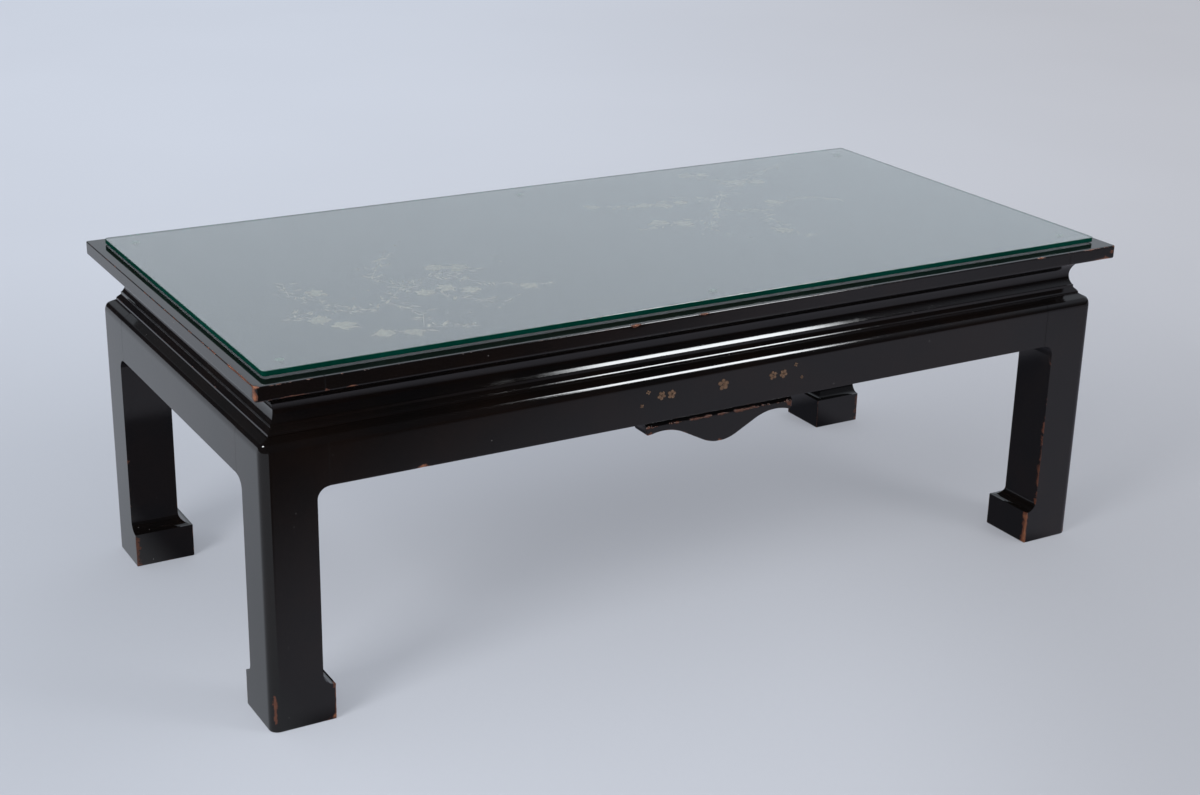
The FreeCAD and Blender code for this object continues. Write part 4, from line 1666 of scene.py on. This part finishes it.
@dataclass
class Ornament:
    """Small blossoms on the front apron and the painted sprays under the glass."""

    sizes: Sizes
    palette: Palette
    petal_rise: float = 0.35
    paint_rise: float = 0.15

    def build(self) -> None:
        """Make and dress the blossoms and both sprays."""
        self._apron_blossoms()
        self._spray("painted_spray_left", self._left_spray(), 7)
        self._spray("painted_spray_right", self._right_spray(), 11)

    @staticmethod
    def _petals(middle: Pair, radius: float, lobes: int, turn: float, depth: float, count: int,
                squash: float = 1.0) -> list[Pair]:
        """Draw a lobed outline.

        Args:
            middle: Centre of the blossom.
            radius: Radius to the petals' tips.
            lobes: Number of petals.
            turn: Turn in radians.
            depth: How deep the notches go, as a share of the radius.
            count: Number of points.
            squash: Height as a share of the width.

        Returns:
            The outline.
        """
        points = []
        for i in range(count):
            angle = 2 * math.pi * i / count
            swell = abs(math.cos(lobes * angle / 2)) ** 0.6
            reach = radius * (1 - depth + depth * swell)
            points.append((middle[0] + reach * math.cos(angle + turn),
                           middle[1] + squash * reach * math.sin(angle + turn)))
        return points

    @staticmethod
    def _add_outline(piece: Piece, points: Sequence[Pair], level: float, rise: float, slot: int,
                     upright: bool) -> None:
        """Add one thin raised shape to a piece in edit mode.

        Args:
            piece: The piece in edit mode.
            points: The outline.
            level: Place of its back, along Z or, upright, along -Y.
            rise: How far it stands up.
            slot: Material slot of the shape.
            upright: Whether it stands on the front face.
        """
        bpy.ops.mesh.select_all(action="DESELECT")
        bpy.ops.mesh.primitive_circle_add(vertices=len(points), radius=0.01, fill_type="NGON")
        mesh = bmesh.from_edit_mesh(piece.data)
        mesh.verts.ensure_lookup_table()
        fresh = [corner for corner in mesh.verts if corner.select]
        for corner, point in zip(fresh, points):
            if upright:
                corner.co = Vector((point[0], -level, point[1])) * MM
            else:
                corner.co = Vector((point[0], point[1], level)) * MM
        for face in mesh.faces:
            if face.select:
                face.material_index = slot
        bmesh.update_edit_mesh(piece.data)
        move = (0, -rise * MM, 0) if upright else (0, 0, rise * MM)
        bpy.ops.mesh.extrude_region_move(TRANSFORM_OT_translate={"value": move})

    def _start(self, name: str, materials: Sequence[bpy.types.Material]) -> Piece:
        """Start an empty piece for thin shapes.

        Args:
            name: Name of the piece.
            materials: Its materials.

        Returns:
            The piece in edit mode.
        """
        piece = Bench.sheet(name, (0, 0), (1, 1), 400.0)
        for material in materials:
            piece.data.materials.append(material)
        Bench.open(piece)
        bpy.ops.mesh.select_all(action="SELECT")
        bpy.ops.mesh.delete(type="VERT")
        return piece

    def _finish(self, piece: Piece, materials: Sequence[bpy.types.Material]) -> None:
        """Close, turn out and dress a piece of thin shapes.

        Args:
            piece: The piece in edit mode.
            materials: Its materials.
        """
        bpy.ops.mesh.select_all(action="SELECT")
        bpy.ops.mesh.normals_make_consistent(inside=False)
        Bench.close()
        dress(piece, materials, [])

    def _apron_blossoms(self) -> None:
        """Make the row of small blossoms from separate tan petals with cream rims."""
        materials = [self.palette.tan, self.palette.cream]
        piece = self._start("apron_blossoms", materials)
        luck = random.Random(3)
        face = self.sizes.half_depth
        blossoms = [((-2.2, 307.2), 7.6, 0.35), ((-85.9, 307.4), 5.6, 0.9), ((-72.6, 307.1), 5.6, 0.1),
                    ((67.3, 306.8), 5.6, 0.5), ((82.1, 306.2), 5.6, 1.0), ((-103.7, 314.1), 3.0, 0.2),
                    ((-111.9, 299.1), 2.5, 0.7), ((99.5, 315.2), 2.8, 0.4), ((108.9, 298.0), 2.3, 0.0)]
        for middle, radius, turn in blossoms:
            small = radius < 4
            lobes = 4 if small else 5
            for i in range(lobes):
                angle = turn + 2 * math.pi * i / lobes + luck.uniform(-0.12, 0.12)
                size = radius * luck.uniform(0.36, 0.43)
                reach = radius * luck.uniform(0.54, 0.62)
                spot = (middle[0] + reach * math.cos(angle), middle[1] + reach * math.sin(angle))
                pale = luck.random() < 0.2 or (radius > 7 and i == 4)
                outer = self._petals(spot, size, 2, angle, 0.18, 16, 0.92)
                self._add_outline(piece, outer, face, self.petal_rise, 1, True)
                shifted = (spot[0] - 0.12 * size, spot[1] + 0.14 * size)
                inner = self._petals(shifted, size * 0.74, 2, angle, 0.18, 12)
                self._add_outline(piece, inner, face + self.petal_rise, 0.1, 1 if pale else 0, True)
            if not small:
                heart = self._petals(middle, radius * 0.13, 5, 0, 0.0, 8)
                self._add_outline(piece, heart, face, 0.5, 1, True)
        self._finish(piece, materials)

    @staticmethod
    def _left_spray() -> Spray:
        """Lay out the left spray.

        Returns:
            Its blossoms with their radius, its buds and its twigs.
        """
        blossoms = [((-409, -43), 20), ((-442, -134), 21), ((-424, -162), 22), ((-396, -205), 20),
                    ((-366, -216), 19), ((-246, -12), 20), ((-220, -22), 19), ((-297, -97), 17),
                    ((-268, -90), 19), ((-244, -108), 18), ((-179, -123), 17)]
        buds = [(-237, 106), (-161, 2), (-164, -24), (-258, -171), (-246, -181), (-307, -174), (-283, -182),
                (-250, 92), (-330, 22), (-205, -150), (-222, -160), (-352, -60), (-378, -80)]
        twigs = [[(-480, -118), (-430, -100), (-390, -128), (-350, -110), (-310, -62), (-262, -40),
                  (-205, -30)],
                 [(-350, -110), (-330, -160), (-350, -205), (-300, -225)],
                 [(-390, -128), (-410, -80), (-440, -40), (-430, 5)],
                 [(-310, -62), (-330, -20), (-300, 30), (-268, 78)],
                 [(-262, -40), (-220, -85), (-190, -118), (-150, -128)],
                 [(-310, -62), (-270, -130), (-228, -165)]]
        return blossoms, buds, twigs

    @staticmethod
    def _right_spray() -> Spray:
        """Lay out the right spray.

        Returns:
            Its blossoms with their radius, its buds and its twigs.
        """
        blossoms = [((58, 143), 15), ((124, 120), 17), ((149, 107), 17), ((176, 112), 15), ((99, 40), 20),
                    ((126, 22), 19), ((260, 232), 18), ((284, 226), 14), ((306, 170), 21), ((334, 162), 20),
                    ((291, 63), 18), ((224, -59), 19)]
        buds = [(120, -30), (150, -42), (165, -70), (92, -12), (190, 60), (210, 10), (240, 120), (350, 90),
                (372, 40), (66, 110), (205, 168), (180, -20)]
        twigs = [[(430, 235), (385, 215), (340, 190), (290, 150), (240, 110), (200, 60), (165, 20),
                  (140, -20)],
                 [(290, 150), (285, 195), (268, 225)],
                 [(240, 110), (190, 125), (130, 118), (70, 138)],
                 [(200, 60), (250, 30), (290, 50), (345, 70), (380, 30)],
                 [(165, 20), (130, 30), (95, 30), (60, 20)],
                 [(250, 30), (240, -20), (224, -55), (250, -95)]]
        return blossoms, buds, twigs

    def _spray(self, name: str, layout: Spray, seed: int) -> None:
        """Paint a spray: twigs first, then leaves, buds and blossoms over them.

        Args:
            name: Name of the piece.
            layout: Its blossoms, buds and twigs.
            seed: Seed of the leaves' places.
        """
        blossoms, buds, twigs = layout
        luck = random.Random(seed)
        materials = [self.palette.white, self.palette.leaf, self.palette.twig, self.palette.bud]
        piece = self._start(name, materials)
        level = self.sizes.top
        for twig in twigs:
            for a, b in zip(twig, twig[1:]):
                run = Vector((b[0] - a[0], b[1] - a[1]))
                side = Vector((-run.y, run.x)).normalized() * 0.5
                strip = [(a[0] - side.x, a[1] - side.y), (b[0] - side.x * 0.8, b[1] - side.y * 0.8),
                         (b[0] + side.x * 0.8, b[1] + side.y * 0.8), (a[0] + side.x, a[1] + side.y)]
                self._add_outline(piece, strip, level, 0.06, 2, False)
                for _ in range(max(3, int(run.length / 4.5))):
                    share, stray = luck.random(), luck.uniform(-20, 20)
                    foot = (a[0] + run.x * share + side.x * stray, a[1] + run.y * share + side.y * stray)
                    way = math.atan2(run.y, run.x) + luck.choice((-1, 1)) * luck.uniform(0.35, 1.3)
                    self._leaf(piece, foot, way, luck.uniform(6, 14), luck)
        for middle in buds:
            tone = 0 if luck.random() < 0.6 else 3
            self._add_outline(piece, self._petals(middle, luck.uniform(1.5, 2.6), 3, luck.random(), 0.1, 8),
                              level, 0.10, tone, False)
        for middle, full in blossoms:
            radius = full * 0.64
            for _ in range(3):
                self._leaf(piece, middle, luck.uniform(0, 6.28), radius * luck.uniform(1.3, 1.6), luck)
            turn = luck.uniform(0, 6.28)
            for i in range(6):
                angle = turn + 2 * math.pi * i / 6 + luck.uniform(-0.2, 0.2)
                reach, size = radius * luck.uniform(0.52, 0.68), radius * luck.uniform(0.34, 0.46)
                spot = (middle[0] + reach * math.cos(angle), middle[1] + reach * math.sin(angle))
                self._add_outline(piece, self._petals(spot, size, 3, angle, 0.2, 14, 0.9), level,
                                  self.paint_rise + 0.012 * i, 0, False)
            self._add_outline(piece, self._petals(middle, radius * 0.45, 5, turn, 0.15, 15), level,
                              self.paint_rise + 0.09, 0, False)
            heart = self._petals(middle, radius * 0.14, 5, 0, 0.1, 9)
            self._add_outline(piece, heart, level + self.paint_rise + 0.09, 0.04, 3, False)
        self._finish(piece, materials)

    def _leaf(self, piece: Piece, foot: Pair, way: float, length: float, luck: random.Random) -> None:
        """Paint one leaf.

        Args:
            piece: The piece in edit mode.
            foot: Where the leaf starts.
            way: Its direction in radians.
            length: Its length.
            luck: Source of its small differences.
        """
        width = length * luck.uniform(0.12, 0.18)
        tone = 3 if luck.random() < 0.16 else 1
        points = []
        for i in range(10):
            angle = 2 * math.pi * i / 10
            along = length / 2 * (1 - math.cos(angle))
            out = width * math.sin(angle) * (0.75 + 0.25 * math.cos(angle))
            points.append((foot[0] + along * math.cos(way) - out * math.sin(way),
                           foot[1] + along * math.sin(way) + out * math.cos(way)))
        self._add_outline(piece, points, self.sizes.top, 0.06 + luck.uniform(0, 0.03), tone, False)


@dataclass
class HiddenJoinery:
    """What holds the table together out of sight: its CAD solids with their finishes."""

    palette: Palette
    nodes: dict[str, bpy.types.Object]

    def build(self) -> None:
        """Dress the battens, blocks, dowels, screws and pads."""
        finishes = {"top_batten_left": self.palette.cross_wood, "top_batten_middle": self.palette.cross_wood,
                    "top_batten_right": self.palette.cross_wood, "glue_blocks": self.palette.wood,
                    "pendant_dowels": self.palette.upright_wood, "batten_screws": self.palette.steel,
                    "glass_pads": self.palette.bumper}
        for name, material in finishes.items():
            node = self.nodes[name]
            if not node.data.materials:
                node.data.materials.append(material)
            for i in range(len(node.material_slots)):
                node.material_slots[i].material = material
            LOG.info("%s: finished", name)


# Studio


@dataclass
class Studio:
    """A pale floor with painted shade and a painted tone in reflections, a soft light from the left and cards
    that only reflections see.
    """

    place: Triple = (-1.1968, -2.0229, 1.0850)
    up: Triple = (0.15945, 0.31532, 0.93549)
    ahead: Triple = (0.47417, 0.80669, -0.35272)
    lens: float = 58.633
    floor_colour: Colour = (0.575, 0.612, 0.690, 1)
    # Painted shade: the darker tone that the floor takes towards the right and front.
    floor_shaded_tone: Colour = (0.490, 0.495, 0.530, 1)
    plain_share: float = 0.45

    def build(self) -> None:
        """Set up the camera, the floor, the sky and the lamps."""
        self._camera()
        self._floor()
        self._sky()
        self._lamp("key", (-2.8, -1.2, 1.75), (1.1, 1.1), 66.0)
        self._lamp("side lamp", (1.35, -1.9, 2.0), (0.7, 1.1), 17.0)
        self._card("leaning card", (1.345, -1.732, 2.035), (-0.02, -0.27, 0.36), (0.80, 1.79), 26.6, 23.0,
                   (0.6, 0.8))
        self._card("overhead card", (-1.64, -0.24, 2.0), (-0.555, -0.26, 0.33), (0.8, 0.8), 0.0, 26.0,
                   (0.5, 0.5))
        bpy.context.scene.view_settings.view_transform = "Standard"

    def _camera(self) -> None:
        """Place the camera as the photograph was taken."""
        data = bpy.data.cameras.new("camera")
        data.lens = self.lens
        data.sensor_width = 36.0
        data.sensor_fit = "HORIZONTAL"
        data.clip_end = 100.0
        camera = bpy.data.objects.new("camera", data)
        bpy.context.collection.objects.link(camera)
        ahead, up = Vector(self.ahead).normalized(), Vector(self.up).normalized()
        right = ahead.cross(up).normalized()
        up = right.cross(ahead)
        turn = Matrix((right, up, -ahead)).transposed()
        camera.matrix_world = Matrix.Translation(self.place) @ turn.to_4x4()
        bpy.context.scene.camera = camera

    def _floor(self) -> None:
        """Lay the floor, which keeps part of the shadows, carries painted shade (darker towards the right and
        front and at both sides near the camera, lighter far off) and has a painted tone of its own in
        reflections.
        """
        Bench.clear()
        bpy.ops.mesh.primitive_plane_add(size=24.0, location=(0, 0, 0))
        floor = Bench.settle("floor")
        material = bpy.data.materials.new("pale floor")
        material.use_nodes = True
        board = Board(material.node_tree)
        shader = material.node_tree.nodes["Principled BSDF"]
        mottle = board.step(board.grain(1.2, board.place(), 2.0), 0.3, 0.7, 0.985, 1.015)
        place = board.put("SeparateXYZ", {0: board.place()})
        across, along = place.outputs[0], place.outputs[1]
        # Painted shade: the floor's tone darkens towards the right and front.
        slope = board.sum("SUBTRACT", across, board.sum("MULTIPLY", along, 0.55))
        plain = board.mix(board.step(slope, -1.2, 2.4), self.floor_colour, self.floor_shaded_tone)
        depth = board.sum("MULTIPLY_ADD", across, 0.474, board.sum("MULTIPLY", along, 0.807))
        sideways = board.sum("MULTIPLY_ADD", across, 0.866, board.sum("MULTIPLY", along, -0.5))
        beside = board.sum("ABSOLUTE", sideways)
        # Painted shade: darker at both sides near the camera, and painted light: lighter far off.
        fall = board.sum("MULTIPLY", board.step(beside, 0.2, 0.65, 0.0, 0.14), board.step(depth, 1.2, 0.0))
        level = board.step(depth, -0.6, 2.7, 0.975, 1.2)
        level = board.sum("MULTIPLY", level, board.sum("SUBTRACT", 1.0, fall))
        plain = board.put("VectorMath", {0: plain, "Scale": level}, operation="SCALE").outputs[0]
        path = board.put("LightPath")
        mirrored = path.outputs["Is Glossy Ray"]
        tone = board.mix(mirrored, plain, self._painted_floor_reflection(board, across, along))
        shader.inputs["Roughness"].default_value = 0.9
        shader.inputs["Specular IOR Level"].default_value = 0.1
        board.tree.links.new(tone, shader.inputs["Base Color"])
        glow = board.put("Emission", {"Color": tone, "Strength": mottle}).outputs[0]
        seen = board.sum("MULTIPLY", path.outputs["Is Camera Ray"], self.plain_share)
        # Reflections see the painted reflection tone glowing in full, not a lit floor.
        share = board.sum("MAXIMUM", seen, mirrored)
        both = board.put("MixShader", {0: share, 1: shader.outputs[0], 2: glow}).outputs[0]
        board.tree.links.new(both, board.tree.nodes["Material Output"].inputs["Surface"])
        floor.data.materials.append(material)

    @staticmethod
    def _painted_floor_reflection(board: Board, across: bpy.types.NodeSocket,
                        along: bpy.types.NodeSocket) -> bpy.types.NodeSocket:
        """Give the floor's painted tone for reflections: painted light on the left, painted shade under the
        table and at the camera.

        Args:
            board: The floor's board.
            across: The place from left to right.
            along: The place from front to rear.

        Returns:
            The tone's socket.
        """
        # Painted shade in reflections: dark on the camera's side and far to the right.
        ahead = board.sum("ADD", board.sum("MULTIPLY_ADD", across, 0.65, along), 0.92)
        front = board.mix(board.step(ahead, -0.28, 0.28), (0.035, 0.022, 0.020, 1), (0.385, 0.385, 0.450, 1))
        front = board.mix(board.step(across, 1.0, 2.0, 0.0, 0.45), front, (0.02, 0.02, 0.03, 1))
        # Painted shadow in reflections: darker under the table.
        side = board.step(across, 0.56, 0.50)
        under = board.sum("MULTIPLY", board.sum("MULTIPLY", board.step(along, -0.31, -0.26), side),
                          board.step(along, 0.34, 0.28))
        tone = board.mix(under, front, (0.095, 0.098, 0.125, 1))
        # Painted light in reflections: brighter to the left of the table.
        left = board.step(across, -0.50, -0.555)
        bright = board.mix(board.step(along, -0.25, 0.9), (0.43, 0.46, 0.51, 1), (0.57, 0.61, 0.68, 1))
        return board.mix(left, tone, bright)

    def _sky(self) -> None:
        """Light the room evenly, with a bright far side and a dark near side for reflections."""
        world = bpy.data.worlds.new("room")
        bpy.context.scene.world = world
        world.use_nodes = True
        board = Board(world.node_tree)
        tree = world.node_tree
        for node in list(tree.nodes):
            tree.nodes.remove(node)
        way = board.put("SeparateXYZ", {0: board.put("TexCoord").outputs["Generated"]})
        ahead = board.step(way.outputs[1], -0.25, 0.45)
        across = board.step(way.outputs[0], -0.22, 0.10)
        aside = board.step(way.outputs[0], 0.50, 0.72)
        aside = board.sum("MULTIPLY", aside, board.step(way.outputs[2], 0.02, 0.5))
        near = board.mix(aside, (0.025, 0.026, 0.032, 1), (0.40, 0.43, 0.50, 1))
        shine = board.mix(board.sum("MULTIPLY", ahead, across), near, (0.62, 0.68, 0.75, 1))
        path = board.put("LightPath")
        even = board.put("Background", {"Color": (0.93, 0.96, 1.0, 1), "Strength": 0.78}).outputs[0]
        gloss = board.put("Background", {"Color": shine, "Strength": 1.0}).outputs[0]
        pale = board.put("Background", {"Color": self.floor_colour, "Strength": 1.0}).outputs[0]
        first = board.put("MixShader", {0: path.outputs["Is Glossy Ray"], 1: even, 2: gloss}).outputs[0]
        second = board.put("MixShader", {0: path.outputs["Is Camera Ray"], 1: first, 2: pale}).outputs[0]
        out = board.put("OutputWorld")
        tree.links.new(second, out.inputs["Surface"])

    def _lamp(self, name: str, place: Triple, size: Pair, power: float) -> None:
        """Hang a large soft lamp that faces the table.

        Args:
            name: Name of the lamp.
            place: Its place in metres.
            size: Its width and height in metres.
            power: Its power.
        """
        data = bpy.data.lights.new(name, "AREA")
        data.shape = "RECTANGLE"
        data.size, data.size_y = size
        data.energy = power
        data.color = (1.0, 0.98, 0.95)
        lamp = bpy.data.objects.new(name, data)
        bpy.context.collection.objects.link(lamp)
        lamp.location = place
        lamp.visible_glossy = False
        aim = Vector((0, 0, 0.2)) - Vector(place)
        lamp.rotation_euler = aim.to_track_quat("-Z", "Y").to_euler()

    def _card(self, name: str, place: Triple, aim: Triple, size: Pair, lean: float, glow: float,
              full: Pair) -> None:
        """Stand a bright card that only reflections see, fading towards its edges.

        Args:
            name: Name of the card.
            place: Its middle in metres.
            aim: The place it faces.
            size: Its width and height in metres.
            lean: How far its top leans over to the right, in degrees.
            glow: Its brightness.
            full: Share of its half width and half height that glows fully.
        """
        Bench.clear()
        bpy.ops.mesh.primitive_plane_add(size=1.0)
        card = Bench.settle(name.replace(" ", "_"))
        material = bpy.data.materials.new(name)
        material.use_nodes = True
        board = Board(material.node_tree)
        corner = board.put("SeparateXYZ", {0: board.put("UVMap").outputs[0]})
        fade = [board.step(board.sum("ABSOLUTE", board.sum("MULTIPLY_ADD", corner.outputs[i], 2.0, -1.0)),
                           1.0, full[i]) for i in (0, 1)]
        strength = board.sum("MULTIPLY", board.sum("MULTIPLY", fade[0], fade[1]), glow)
        light = board.put("Emission", {"Color": (0.94, 0.97, 1.0, 1), "Strength": strength}).outputs[0]
        gone = board.put("BsdfTransparent").outputs[0]
        path = board.put("LightPath").outputs["Is Glossy Ray"]
        both = board.put("MixShader", {0: path, 1: gone, 2: light}).outputs[0]
        board.tree.links.new(both, board.tree.nodes["Material Output"].inputs["Surface"])
        card.data.materials.append(material)
        way = (Vector(aim) - Vector(place)).to_track_quat("Z", "Y").to_matrix().to_4x4()
        way = way @ Matrix.Rotation(math.radians(lean), 4, "Z")
        card.matrix_world = Matrix.Translation(place) @ way @ Matrix.Diagonal((size[0], size[1], 1, 1))
        Bench.take(card)
        bpy.ops.object.transform_apply(location=True, rotation=True, scale=True)


def main() -> None:
    """Load the frame, set the shared sizes, and build every sub-assembly."""
    logging.basicConfig(level=logging.INFO, format="%(message)s")
    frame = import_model()
    sizes = Sizes()
    palette = Palette()
    Studio().build()
    FramedTop(sizes, palette).build()
    Waist(sizes, palette).build()
    LegFrame(sizes, palette).build()
    Pendants(sizes, palette).build()
    GlassCover(palette).build()
    Ornament(sizes, palette).build()
    HiddenJoinery(palette, frame["nodes"]).build()
    Bench.clear()


if __name__ == "__main__":
    main()
